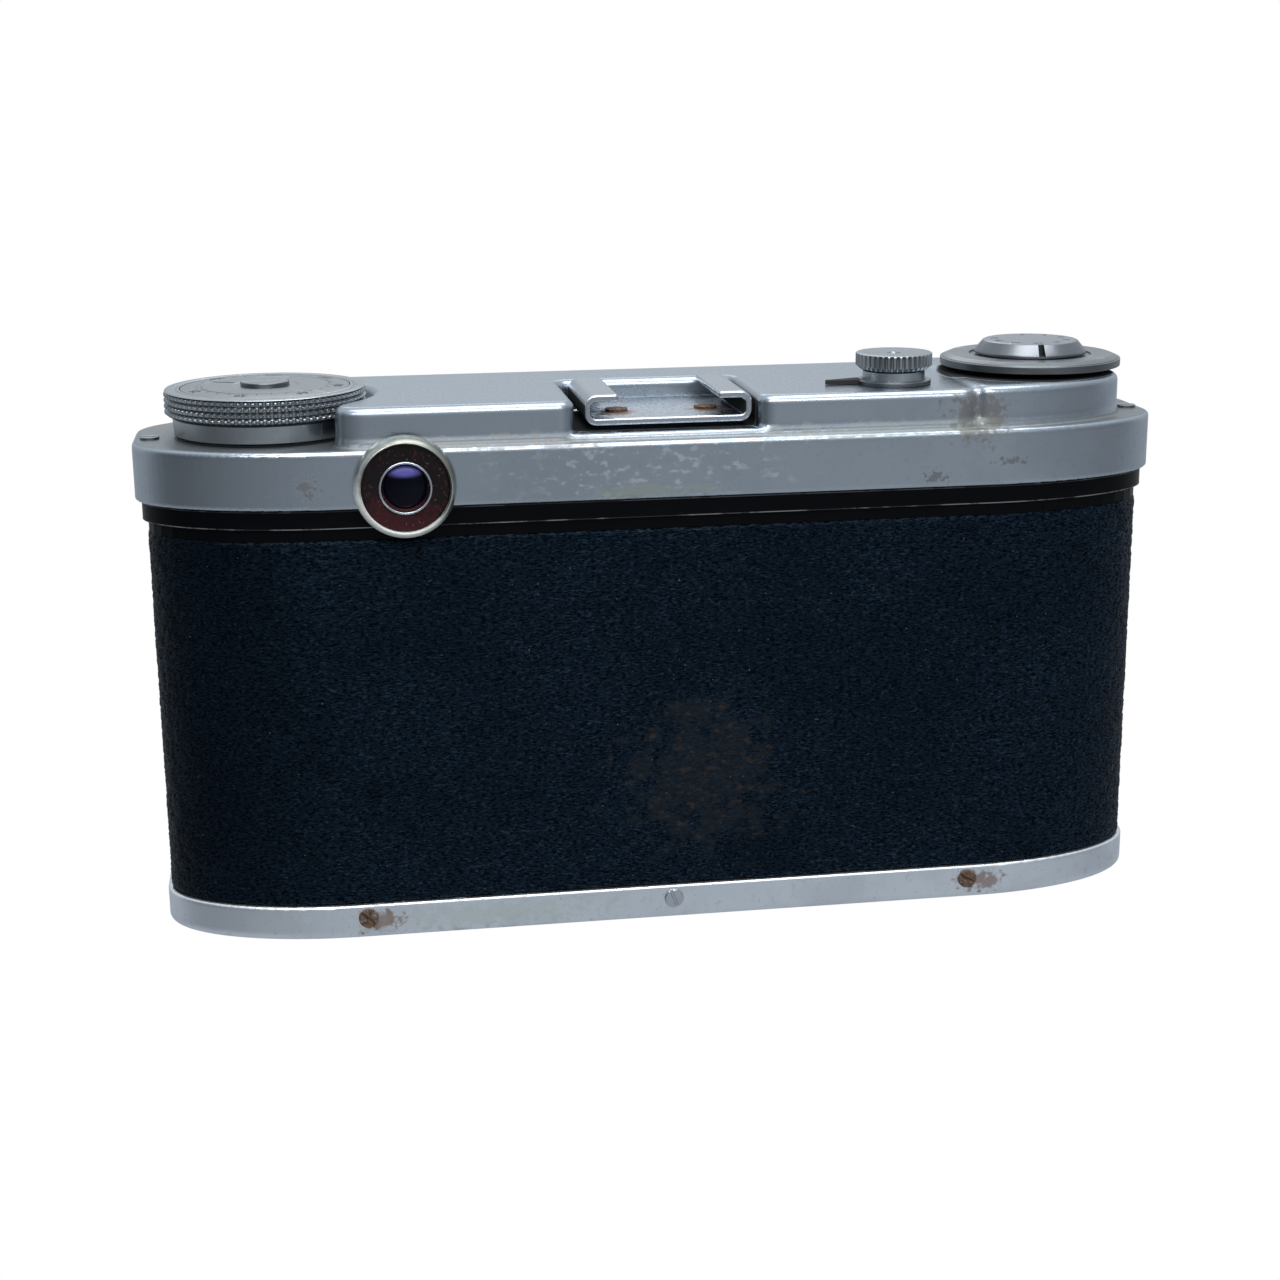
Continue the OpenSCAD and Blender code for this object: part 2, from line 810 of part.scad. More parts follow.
module sprocket_shaft() color("#8f9297") at(sprocket_pos) {
    gear(sprocket_teeth, 1, train_angle + 180);
    rod(shaft_r, chamber_bottom + 0.1, gear_z + gear_t + 0.4);
    rod(sprocket_foot_r, 3.1, chamber_bottom + 0.2);
    for (side = [-1, 1])
        translate([0, 0, lens_z + side * perforation_offset - 1.4]) {
            cylinder(r = sprocket_r, h = 2.8);
            for (k = [0:7])
                rotate([0, 0, 22.5 + 45 * k])
                    translate([sprocket_r - 0.5, -0.8, 0.7])
                        cube([1.6, 1.6, 1.4]);
        }
}

module take_up_spool() color("#1d1d20") at(advance_pos) difference() {
    union() {
        rod(5.5, chamber_bottom + 0.2, chamber_top - 0.3);
        rod(spool_flange_r, chamber_bottom + 0.2, chamber_bottom + 1.4);
        rod(spool_flange_r, chamber_top - 1.5, chamber_top - 0.3);
    }
    rod(advance_shaft_r + slip, 43, chamber_top + 1);
    block([-6, -0.5, lens_z - 16], [6, 0.5, lens_z + 14.5]);
}

module counter_dial() color("#c4c8cf") at(advance_pos) {
    rod(1, 67.6, disc_top + 0.2);
    difference() {
        union() {
            rod(counter_r, disc_top + 0.05, disc_top + 0.35);
            translate([0, 0, disc_top + 0.35 - eps])
                cylinder(r1 = counter_r, r2 = counter_top_r, h = counter_height - 0.35 + eps);
        }
        rotate([0, 0, 84])
            block([counter_top_r - 0.2, -0.4, disc_top + 0.3], [counter_r + 1, 0.4, disc_top + 2]);
    }
}

// ---- rewind --------------------------------------------------------------------------------

module shaft_section(grow) {
    difference() {
        circle(shaft_r + grow);
        translate([1.55 + grow, -5])
            square([5, 10]);
    }
}

module rewind_sleeve() color("#a8904f") at(rewind_pos)
    translate([0, 0, 55.4])
        difference() {
            union() {
                cylinder(r = 3, h = 6.4);
                translate([0, 0, 4.6])
                    cylinder(r = 4.2, h = 0.8);
            }
            translate([0, 0, -1])
                linear_extrude(9)
                    shaft_section(slip);
        }

module rewind_knob() color("#a9adb2") at(rewind_pos) difference() {
    union() {
        rod(knob_neck_r, lower_deck + slip, knurl_bottom + eps);
        rod(rewind_r, knurl_bottom, knurl_top);
        translate([0, 0, knurl_top - eps])
            cylinder(r1 = rewind_r, r2 = rewind_r - 0.3, h = 0.2);
    }
    rod(3.4, lower_deck - 1, 64);
    translate([0, 0, 60])
        linear_extrude(10)
            shaft_section(0.02);
    rod(dial_r + slip, knurl_top - 0.6, knurl_top + 3);
}

module rewind_shaft() color("#9b9ea3") at(rewind_pos) {
    translate([0, 0, 50])
        linear_extrude(67.2 - 50)
            shaft_section(0);
    block([-2.5, -0.6, 45], [2.5, 0.6, 50.01]);
}

module reminder_dial() color("#b4b8bd") at(rewind_pos) difference() {
    union() {
        rod(dial_r, knurl_top - 0.5, knurl_top + 0.2);
        translate([0, 0, knurl_top + 0.2 - eps])
            cylinder(r1 = dial_r, r2 = dial_r - 2.2, h = 0.2);
    }
    rod(2 + slip, 60, 75);
}

module rewind_hub_screw() color("#9ea2a7") at(rewind_pos) difference() {
    union() {
        rod(3, knurl_top + 0.45, knurl_top + 0.85);
        rod(2, knurl_top - 0.55, knurl_top + 0.5);
    }
    block([-3.2, -0.3, knurl_top + 0.65], [3.2, 0.3, knurl_top + 2]);
}

// ---- release -------------------------------------------------------------------------------

module release_button() color("#a4a8ad") at(release_pos) {
    translate([0, 0, release_head_bottom])
        cylinder(r1 = release_head_r - 0.5, r2 = release_head_r, h = 0.4);
    rod(release_head_r, release_head_bottom + 0.39, release_head_bottom + 2);
    rod(release_neck_r, 65.5, release_head_bottom + eps);
    rod(release_rod_r, release_rod_end, 65.6);
}

module release_spring() color("#8e9094") at(release_pos)
    coil(1.6, 0.2, core_top + 0.1, 65.4, 7);

module rewind_lever() color("#17171a") at(release_pos)
    translate([0, 0, raised_deck + 0.05])
        linear_extrude(0.5)
            difference() {
                union() {
                    circle(4.7);
                    polygon([[0, -4.4], [8.8, -0.4], [8.8, 0.2], [0, 1]]);
                }
                circle(release_neck_r + slip);
            }

// ---- back and base -------------------------------------------------------------------------

module bottom_plate() color("#b4b9c0") difference() {
    union() {
        slab(0, 1, -plate_inset);
        wall(0.5, rim_height, plate_inset, shell_inset - 0.05);
    }
    for (side = [-1, 1])
        translate([side * key_x, 0, 0])
            rod(key_r + slip, -1, 2);
    rod(socket_r + 0.02, -1, 2);
    for (x = base_screw_xs)
        translate([x, 0, base_screw_z])
            rotate([-90, 0, 0])
                rod(base_screw_hole_r, half_y - 4, half_y + 1);
}

module back_shell() color("#1c1c1f") difference() {
    rear_half(seam_y)
        union() {
            wall(1.05, back_top, shell_inset, shell_inset + shell_wall);
            wall(back_top - lip_height, back_top, leather_inset + 0.2, shell_inset + shell_wall);
        }
    for (x = base_screw_xs)
        translate([x, 0, base_screw_z])
            rotate([-90, 0, 0])
                rod(base_screw_hole_r, half_y - 5, half_y + 1);
}

module back_covering() color("#151a26")
    rear_half(seam_y)
        wall(rim_height + 0.1, back_top - lip_height - 0.05, leather_inset, shell_inset);

module base_screws() color("#7d6350")
    for (x = base_screw_xs)
        translate([x, half_y - plate_inset, base_screw_z])
            rotate([-90, x == 0 ? 70 : 30, 0])
                slotted_screw(1.2, 0.35, base_screw_hole_r - slip, 2);

module pressure_plate() color("#3a3c40")
    block([-21, film_y + 0.25, lens_z - 16.5], [21, film_y + 1.05, lens_z + 16.5]);

// A bowed leaf that rests on the plate in the middle and on the back shell at its ends.
module pressure_spring() color("#8e9094")
    translate([0, 0, lens_z - 6])
        linear_extrude(12)
            polygon(concat(
                [for (x = [-20:4:20]) [x, film_y + 1.1 + 3.3 * pow(x / 20, 2)]],
                [for (x = [20:-4:-20]) [x, film_y + 1.35 + 3.3 * pow(x / 20, 2)]]
            ));

module tripod_socket() color("#b4b9c0") {
    tube(socket_r, socket_bore_r, 0, 6);
    tube(socket_flange_r, socket_r - 0.1, 1.02, 1.8);
}

module lock_catches() color("#9b9ea3")
    for (side = [-1, 1])
        translate([side * key_x, 0, 2])
            linear_extrude(0.7)
                difference() {
                    circle(key_bay_r - slip);
                    circle(3.2);
                    translate([-1.7, -5.8])
                        square([3.4, 11.6]);
                }

// A flush key: a finger bar across a sunk disc, a stem, and two lugs that hook over the catch.
module lock_key() {
    difference() {
        rod(key_r, 0.05, 1.02);
        rod(key_r - 0.8, -1, 0.6);
    }
    block([-key_r + 0.5, -0.9, 0.1], [key_r - 0.5, 0.9, 0.8]);
    rod(key_r + 0.5, 1.01, 1.6);
    rod(2.9, 1.5, 4);
    block([-5.4, -1.4, 3], [5.4, 1.4, 4]);
}

module lock_key_left() color("#aeb2b8")
    translate([key_x, 0, 0])
        lock_key();

module lock_key_right() color("#aeb2b8")
    translate([-key_x, 0, 0])
        lock_key();

body_casting();
front_covering();
top_cover();
top_cover_screws();
accessory_shoe();
shoe_screws();
eyepiece_ring();
eyepiece_insert();
eyepiece_lens();
viewfinder_window();
rangefinder_window();
finder_housing();
beam_splitter();
lens_mount_ring();
lock_catches();
mirror_arm();
rangefinder_mirror();
focusing_ring();
shutter_housing();
shutter_cover();
front_cell();
front_element();
rear_element();
flash_socket();
speed_ring();
aperture_ring();
cocking_lever();
shutter_release_lever();
shutter_blade(0);  // shutter_blade_1
shutter_blade(1);  // shutter_blade_2
shutter_blade(2);  // shutter_blade_3
iris_blade(0);  // iris_blade_1
iris_blade(1);  // iris_blade_2
iris_blade(2);  // iris_blade_3
iris_blade(3);  // iris_blade_4
iris_blade(4);  // iris_blade_5
advance_knob();
advance_shaft();
idler_gear();
sprocket_shaft();
take_up_spool();
counter_dial();
rewind_sleeve();
rewind_knob();
rewind_shaft();
rewind_hub_screw();
reminder_dial();
release_button();
release_spring();
rewind_lever();
bottom_plate();
back_shell();
back_covering();
base_screws();
pressure_plate();
pressure_spring();
tripod_socket();
lock_key_left();
lock_key_right();
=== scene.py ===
"""Looks of a 35 mm rangefinder camera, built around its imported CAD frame.

Shapes are worked out in millimetres in the shared frame, where +Z is up and the lens points along -Y,
and are written in metres.
"""

import math

import bmesh
import bpy
import numpy as np
from mathutils import Matrix, Vector


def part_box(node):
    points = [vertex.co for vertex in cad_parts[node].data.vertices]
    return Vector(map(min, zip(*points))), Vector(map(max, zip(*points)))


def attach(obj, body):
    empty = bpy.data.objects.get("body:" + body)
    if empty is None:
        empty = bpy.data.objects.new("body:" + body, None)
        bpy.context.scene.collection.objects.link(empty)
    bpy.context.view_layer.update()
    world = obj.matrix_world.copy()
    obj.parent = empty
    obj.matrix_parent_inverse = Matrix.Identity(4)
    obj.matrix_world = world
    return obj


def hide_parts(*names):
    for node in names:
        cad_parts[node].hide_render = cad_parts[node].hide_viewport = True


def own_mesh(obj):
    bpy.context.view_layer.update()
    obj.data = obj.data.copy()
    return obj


MM = 0.001

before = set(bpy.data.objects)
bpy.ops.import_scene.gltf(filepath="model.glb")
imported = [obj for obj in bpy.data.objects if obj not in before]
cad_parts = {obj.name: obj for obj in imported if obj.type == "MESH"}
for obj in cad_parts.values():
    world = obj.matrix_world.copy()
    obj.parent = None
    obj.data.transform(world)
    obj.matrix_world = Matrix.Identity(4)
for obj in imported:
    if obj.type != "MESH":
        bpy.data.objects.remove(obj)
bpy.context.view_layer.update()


# ---- places taken from the frame -------------------------------------------------------------


def node_box(node):
    """A CAD node's lowest and highest corners, in millimetres."""
    low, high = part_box(node)
    return np.array(low) / MM, np.array(high) / MM


def middle(node):
    low, high = node_box(node)
    return (low + high) / 2


def half_size(node, axis=0):
    low, high = node_box(node)
    return (high - low)[axis] / 2


COVER_LOW, COVER_HIGH = node_box("top_cover")
HALF_X = COVER_HIGH[0]
HALF_Y = COVER_HIGH[1]
BAND_BOTTOM = COVER_LOW[2]
TURRET_TOP = COVER_HIGH[2]
RAISED_DECK = TURRET_TOP - 0.3
LOWER_DECK = node_box("top_cover_screws")[1][2] - 0.3
RIM_TOP = node_box("bottom_plate")[1][2]
REWIND = middle("rewind_knob")[:2]
REWIND_R = half_size("rewind_knob")
ADVANCE = middle("advance_knob")[:2]
RELEASE = middle("release_button")[:2]
LENS_Z = middle("shutter_cover")[2]
EYEPIECE = middle("eyepiece_ring")
SHOE_LOW, SHOE_HIGH = node_box("accessory_shoe")

CORNER = (24.8, 12.7)  # half axes of the outline's elliptical corners
LEATHER_INSET = 1.2
LEATHER_THICKNESS = 0.62
PLATE_INSET = 0.8
STRIP_INSET = 0.8
SEAM_Y = -6


# ---- mesh helpers ----------------------------------------------------------------------------


def set_look(mesh, material, sharp):
    """One material all over, smooth except along edges sharper than the given angle in degrees."""
    mesh.materials.clear()
    mesh.materials.append(material)
    mesh.polygons.foreach_set("use_smooth", [True] * len(mesh.polygons))
    if sharp is not None:
        mesh.set_sharp_from_angle(angle=math.radians(sharp))


def piece_of_mesh(name, mesh, material, body, replaces=(), slot=None, sharp=35):
    """An object that rides on a body, and is shown in place of the CAD nodes that it replaces."""
    set_look(mesh, material, sharp)
    obj = bpy.data.objects.new(name, mesh)
    bpy.context.scene.collection.objects.link(obj)
    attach(obj, body)
    if replaces:
        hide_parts(*replaces)
    look = material.name.split(".")[0]
    return obj


def piece(name, verts, faces, material, body, **options):
    """A piece from millimetre points."""
    mesh = bpy.data.meshes.new(name)
    mesh.from_pydata([tuple(v) for v in np.asarray(verts, float) * MM], [], [tuple(f) for f in faces])
    mesh.validate()
    return piece_of_mesh(name, mesh, material, body, **options)


def quad_mesh(name, verts, quads):
    """A mesh from arrays of millimetre points and of four-cornered faces."""
    mesh = bpy.data.meshes.new(name)
    mesh.vertices.add(len(verts))
    mesh.vertices.foreach_set("co", (np.asarray(verts, float) * MM).ravel())
    mesh.loops.add(quads.size)
    mesh.loops.foreach_set("vertex_index", quads.ravel().astype(np.int32))
    mesh.polygons.add(len(quads))
    mesh.polygons.foreach_set("loop_start", np.arange(0, quads.size, 4, dtype=np.int32))
    mesh.polygons.foreach_set("loop_total", np.full(len(quads), 4, dtype=np.int32))
    mesh.update(calc_edges=True)
    return mesh


def rounded(points, steps=4):
    """A closed profile of (r, z, bevel) corners as (r, z) points, with each corner turned into an arc."""
    out = []
    count = len(points)
    for i, (r, z, bevel) in enumerate(points):
        here = np.array([r, z], float)
        if bevel <= 0:
            out.append(here)
            continue
        before = np.array(points[i - 1][:2], float) - here
        after = np.array(points[(i + 1) % count][:2], float) - here
        start = here + before / np.linalg.norm(before) * bevel
        end = here + after / np.linalg.norm(after) * bevel
        for s in range(steps + 1):
            t = s / steps
            out.append((1 - t) ** 2 * start + 2 * t * (1 - t) * here + t * t * end)
    return np.array(out)


def upright(centre, z=0.0):
    """Local millimetres to millimetres of the shared frame, for a piece on an upright axis."""
    return Matrix.Translation((centre[0], centre[1], z))


def lathe(name, profile, material, body, place, segments=128, warp=None, **options):
    """A closed profile of (r, z) points turned about the local Z axis.

    warp(r, z, angle) gives the radius at an angle, for knurls and flutes.
    """
    profile = np.asarray(profile, float)
    angles = np.arange(segments) * 2 * np.pi / segments
    radius = np.repeat(profile[:, 0][:, None], segments, 1)
    height = np.repeat(profile[:, 1][:, None], segments, 1)
    if warp:
        radius = warp(radius, height, angles[None, :])
    verts = np.stack([radius * np.cos(angles), radius * np.sin(angles), height], -1).reshape(-1, 3)
    rings = len(profile)
    quads = []
    for i in range(rings):
        j = (i + 1) % rings
        if profile[i, 0] < 1e-6 and profile[j, 0] < 1e-6:
            continue
        a = i * segments + np.arange(segments)
        b = i * segments + (np.arange(segments) + 1) % segments
        quads.append(np.stack([a, b, b + (j - i) * segments, a + (j - i) * segments], -1))
    mesh = quad_mesh(name, moved(verts, place), np.concatenate(quads))
    clean(mesh)
    return piece_of_mesh(name, mesh, material, body, **options)


def moved(verts, place):
    place = np.array(place)
    return verts @ place[:3, :3].T + place[:3, 3]


def clean(mesh):
    """Merges points that meet on an axis, and turns every face outwards."""
    work = bmesh.new()
    work.from_mesh(mesh)
    bmesh.ops.remove_doubles(work, verts=work.verts, dist=1e-7)
    bmesh.ops.dissolve_degenerate(work, dist=1e-8, edges=work.edges)
    bmesh.ops.recalc_face_normals(work, faces=work.faces)
    work.to_mesh(mesh)
    work.free()
    mesh.update()


# ---- solids from distance fields -------------------------------------------------------------


def round_max(a, b, r):
    """The intersection of two fields, with its edge rounded to radius r."""
    u = np.maximum(a + r, 0)
    v = np.maximum(b + r, 0)
    return np.minimum(np.maximum(a, b), -r) + np.hypot(u, v)


def round_min(a, b, r):
    """The union of two fields, with its inner corner filled to radius r."""
    return -round_max(-a, -b, r)


def soft_rectangle(hx, hy, a, b, steps=28):
    """Points of a rectangle with elliptical corners, anticlockwise."""
    t = np.linspace(0, np.pi / 2, steps)
    x = hx - a + a * np.cos(t)
    y = hy - b + b * np.sin(t)
    right = np.concatenate([np.stack([x, -y], -1)[::-1], np.stack([x, y], -1)])
    return np.concatenate([right, -right])


def outline_field(points, x, y):
    """Signed distance to a closed outline, negative inside."""
    shape = np.broadcast(x, y).shape
    x = np.broadcast_to(x, shape).ravel()
    y = np.broadcast_to(y, shape).ravel()
    best = np.full(x.shape, np.inf)
    inside = np.zeros(x.shape, bool)
    for (x0, y0), (x1, y1) in zip(points, np.roll(points, -1, 0)):
        dx, dy = x1 - x0, y1 - y0
        t = np.clip(((x - x0) * dx + (y - y0) * dy) / (dx * dx + dy * dy + 1e-12), 0, 1)
        best = np.minimum(best, (x - x0 - t * dx) ** 2 + (y - y0 - t * dy) ** 2)
        if y0 != y1:
            crosses = ((y0 > y) != (y1 > y)) & (x < x0 + (y - y0) * dx / dy)
            inside ^= crosses
    return np.where(inside, -1, 1).reshape(shape) * np.sqrt(best).reshape(shape)


def box_field(x, y, z, low, high, r=0):
    """Signed distance to a box whose edges are rounded to radius r."""
    d = [
        np.abs(v - (a + b) / 2) - ((b - a) / 2 - r)
        for v, a, b in zip((x, y, z), low, high)
    ]
    out = np.sqrt(sum(np.maximum(v, 0) ** 2 for v in d))
    return out + np.minimum(np.maximum(np.maximum(d[0], d[1]), d[2]), 0) - r


def disc_field(x, y, centre, r):
    return np.hypot(x - centre[0], y - centre[1]) - r


def surface(name, field, low, high, step):
    """The zero surface of a field, as a mesh of quads whose points are then drawn onto the surface."""
    low = np.asarray(low, float)
    high = np.asarray(high, float)
    counts = np.ceil((high - low) / step).astype(int) + 1
    axes = [low[i] + step * np.arange(counts[i]) for i in range(3)]
    grid = np.meshgrid(*axes, indexing="ij", sparse=True)
    values = np.broadcast_to(field(*grid), counts).copy()
    inside = values < 0
    cells = counts - 1
    total = np.zeros((cells.prod(), 3))
    hits = np.zeros(cells.prod())
    edges = []
    for axis in range(3):
        first = [slice(None)] * 3
        second = [slice(None)] * 3
        first[axis] = slice(0, -1)
        second[axis] = slice(1, None)
        found = np.argwhere(inside[tuple(first)] != inside[tuple(second)])
        after = found.copy()
        after[:, axis] += 1
        v0 = values[tuple(found.T)]
        v1 = values[tuple(after.T)]
        points = low + found * step
        points[:, axis] += v0 / (v0 - v1) * step
        u, v = [a for a in range(3) if a != axis]
        around = []
        for du, dv in ((-1, -1), (0, -1), (0, 0), (-1, 0)):
            cell = found.copy()
            cell[:, u] += du
            cell[:, v] += dv
            index = np.ravel_multi_index(np.clip(cell, 0, cells - 1).T, cells)
            np.add.at(total, index, points)
            np.add.at(hits, index, 1)
            around.append(index)
        quad = np.stack(around, -1)
        flip = (v0 < 0) ^ (axis == 1)
        quad[~flip] = quad[~flip][:, ::-1]
        edges.append(quad)
    used = np.flatnonzero(hits)
    number = np.zeros(cells.prod(), int)
    number[used] = np.arange(len(used))
    verts = total[used] / hits[used][:, None]
    tiny = step * 0.05
    for _ in range(3):
        here = field(*verts.T)
        ahead = [field(*(verts + tiny * way).T) for way in np.eye(3)]
        behind = [field(*(verts - tiny * way).T) for way in np.eye(3)]
        slope = (np.stack(ahead, -1) - np.stack(behind, -1)) / (2 * tiny)
        size = np.maximum((slope**2).sum(1), 0.25)
        verts = verts - np.clip((here / size)[:, None] * slope, -step * 0.6, step * 0.6)
    return quad_mesh(name, verts, number[np.concatenate(edges)])


class Outline:
    """Signed distance to a closed outline, looked up in a table made once."""

    cell = 0.1

    def __init__(self, points, margin=3):
        self.low = points.min(0) - margin
        counts = np.ceil((points.max(0) + margin - self.low) / self.cell).astype(int) + 2
        x = self.low[0] + self.cell * np.arange(counts[0])
        y = self.low[1] + self.cell * np.arange(counts[1])
        self.table = outline_field(points, x[:, None], y[None, :])

    def at(self, x, y):
        u = np.clip((x - self.low[0]) / self.cell, 0, self.table.shape[0] - 1.001)
        v = np.clip((y - self.low[1]) / self.cell, 0, self.table.shape[1] - 1.001)
        i = u.astype(int)
        j = v.astype(int)
        s = u - i
        t = v - j
        near = self.table[i, j] * (1 - t) + self.table[i, j + 1] * t
        far = self.table[i + 1, j] * (1 - t) + self.table[i + 1, j + 1] * t
        return near * (1 - s) + far * s


# ---- materials -------------------------------------------------------------------------------


class Nodes:
    """Short ways to add nodes to a tree and to link them."""

    def __init__(self, tree):
        self.tree = tree

    def node(self, kind, **settings):
        node = self.tree.nodes.new(kind)
        for key, value in settings.items():
            setattr(node, key, value)
        return node

    def link(self, socket, target):
        self.tree.links.new(socket, target)

    def math(self, operation, *values):
        node = self.node("ShaderNodeMath", operation=operation)
        for value, target in zip(values, node.inputs):
            if isinstance(value, (int, float)):
                target.default_value = value
            else:
                self.link(value, target)
        return node.outputs[0]

    def both(self, first, second):
        """The product of two masks."""
        return self.math("MULTIPLY", first, second)

    def ramp(self, socket, low, high, start=0.0, end=1.0):
        """start at or under low, end at or over high, and smooth between them."""
        node = self.node("ShaderNodeMapRange", interpolation_type="SMOOTHSTEP")
        for index, value in enumerate((low, high, start, end)):
            node.inputs[index + 1].default_value = value
        self.link(socket, node.inputs[0])
        return node.outputs[0]

    def split(self, vector):
        """The three parts of a vector."""
        node = self.node("ShaderNodeSeparateXYZ")
        self.link(vector, node.inputs[0])
        return node.outputs

    def mix(self, factor, data_type):
        """The two inputs and the output of a mixing node."""
        node = self.node("ShaderNodeMix", data_type=data_type)
        mask, first, second = [s for s in node.inputs if s.enabled][:3]
        self.link(factor, mask)
        return first, second, [s for s in node.outputs if s.enabled][0]


class Look(Nodes):
    """Builds one material, starting from a plain colour and adding layers to it."""

    def __init__(self, name, colour, roughness=0.5, metallic=0.0, **inputs):
        self.material = bpy.data.materials.new(name)
        self.material.use_nodes = True
        self.material.diffuse_color = (*colour, 1)
        super().__init__(self.material.node_tree)
        self.shader = self.tree.nodes["Principled BSDF"]
        inputs.update(Base_Color=(*colour, 1), Roughness=roughness, Metallic=metallic)
        for key, value in inputs.items():
            self.shader.inputs[key.replace("_", " ")].default_value = value
        self.place = self.node("ShaderNodeTexCoord").outputs["Object"]

    def noise(self, size, detail=3.0, seed=0.0, stretch=(1, 1, 1)):
        """Fractal noise, about 0.5 on average, whose features are size millimetres wide."""
        mapping = self.node("ShaderNodeMapping")
        mapping.inputs["Scale"].default_value = tuple(1 / (size * MM * s) for s in stretch)
        mapping.inputs["Location"].default_value = (seed, seed * 1.7, seed * 0.3)
        self.link(self.place, mapping.inputs["Vector"])
        noise = self.node("ShaderNodeTexNoise")
        for key, value in (("Scale", 1), ("Detail", detail), ("Roughness", 0.6)):
            noise.inputs[key].default_value = value
        self.link(mapping.outputs[0], noise.inputs["Vector"])
        return noise.outputs[0]

    def edges(self, low=0.52, high=0.6, *ends):
        """1 on convex edges, or 1 in hollows when the ends are turned round."""
        return self.ramp(self.node("ShaderNodeNewGeometry").outputs["Pointiness"], low, high, *ends)

    def facing(self, axis, low, high):
        """1 where the surface faces along an axis, either way."""
        normal = self.split(self.node("ShaderNodeNewGeometry").outputs["Normal"])
        return self.ramp(self.math("ABSOLUTE", normal[axis]), low, high)

    def blot(self, centre, radii, ragged=0.6, size=2.0, seed=0.0, soft=(0.5, 1.1)):
        """1 in a ragged patch round a point, in millimetres."""
        mapping = self.node("ShaderNodeMapping", vector_type="TEXTURE")
        mapping.inputs["Location"].default_value = tuple(c * MM for c in centre)
        mapping.inputs["Scale"].default_value = tuple(r * MM for r in radii)
        self.link(self.place, mapping.inputs["Vector"])
        length = self.node("ShaderNodeVectorMath", operation="LENGTH")
        self.link(mapping.outputs[0], length.inputs[0])
        rough = self.math("MULTIPLY", self.math("SUBTRACT", self.noise(size, 4, seed), 0.5), ragged * 4)
        return self.ramp(self.math("ADD", length.outputs["Value"], rough), *soft, 1.0, 0.0)

    def inside(self, low, high, soft=0.3):
        """1 inside a box given by two corners, in millimetres."""
        mask = 1.0
        for socket, least, most in zip(self.split(self.place), low, high):
            mask = self.both(self.ramp(socket, (least - soft) * MM, (least + soft) * MM), mask)
            mask = self.both(self.ramp(socket, (most - soft) * MM, (most + soft) * MM, 1.0, 0.0), mask)
        return mask

    def layer(self, mask, colour=None, roughness=None, metallic=None, amount=1.0, specular=None):
        """Puts a colour and surface values over what is there, where the mask is 1."""
        if amount != 1.0:
            mask = self.both(mask, amount)
        values = {
            "Base Color": colour and (*colour, 1),
            "Roughness": roughness,
            "Metallic": metallic,
            "Specular IOR Level": specular,
        }
        for key, value in values.items():
            if value is None:
                continue
            target = self.shader.inputs[key]
            under, over, out = self.mix(mask, "RGBA" if key == "Base Color" else "FLOAT")
            if target.is_linked:
                self.link(target.links[0].from_socket, under)
            else:
                under.default_value = target.default_value
            over.default_value = value
            self.link(out, target)

    def mottle(self, noise, low, high, *values, **options):
        """A layer where noise, given by its own arguments, passes a level."""
        self.layer(self.ramp(self.noise(*noise), low, high), *values, **options)

    def stain(self, blot, *values, **options):
        """A layer in a ragged patch, given by its own arguments."""
        self.layer(self.blot(*blot), *values, **options)

    def soil(self, mask):
        """Painted shade: dull near black where the mask is 1."""
        self.layer(mask, SHADE_BLACK, 0.9, 0.0, 0.96, 0.0)

    def bump(self, noise, depth, strength=1.0):
        """Raises the surface by depth millimetres where the noise is 1."""
        node = self.node("ShaderNodeBump")
        node.inputs["Strength"].default_value = strength
        node.inputs["Distance"].default_value = depth * MM
        self.link(self.noise(*noise), node.inputs["Height"])
        target = self.shader.inputs["Normal"]
        if target.is_linked:
            self.link(target.links[0].from_socket, node.inputs["Normal"])
        self.link(node.outputs[0], target)


CHROME = (0.40, 0.45, 0.505)
# Near black, used only for painted shade in gaps and under parts.
SHADE_BLACK = (0.012, 0.011, 0.010)
DULL_BROWN = (0.2, 0.17, 0.13)
GRIME = (0.05, 0.045, 0.035)
OLD_OIL = (0.11, 0.085, 0.055)
RUST = (0.13, 0.055, 0.025)
VERDIGRIS = (0.22, 0.25, 0.2)


def times(colour, factor):
    return tuple(min(c * factor, 1) for c in colour)


def satin(name, colour, roughness=0.32, wear=0.5):
    """Old satin plating: cloudy, finely pitted, brighter on its edges."""
    look = Look(name, colour, roughness, 1.0)
    look.mottle((9, 4), 0.42, 0.68, times(colour, 0.8), roughness + 0.1, amount=wear)
    look.mottle((0.9, 5, 4), 0.56, 0.72, times(colour, 0.72), roughness + 0.15, amount=wear)
    look.mottle((0.5, 2, 9), 0.72, 0.76, GRIME, 0.7, 0.3, wear)
    look.layer(look.edges(), times(colour, 1.5), roughness - 0.08, amount=0.8)
    look.bump((0.35, 3, 2), 0.012, 0.5)
    look.bump((7, 2, 3), 0.12, 0.4)
    return look


def turned(name, colour, roughness, wear):
    """Turned steel whose sides are painted darker than its top, as painted shade."""
    look = satin(name, colour, roughness, wear)
    # Painted shade: faces that are not upright are painted darker.
    side = look.math("SUBTRACT", 1, look.facing("Z", 0.75, 0.97))
    look.layer(side, times(colour, 0.45), roughness, amount=0.85)
    return look.material


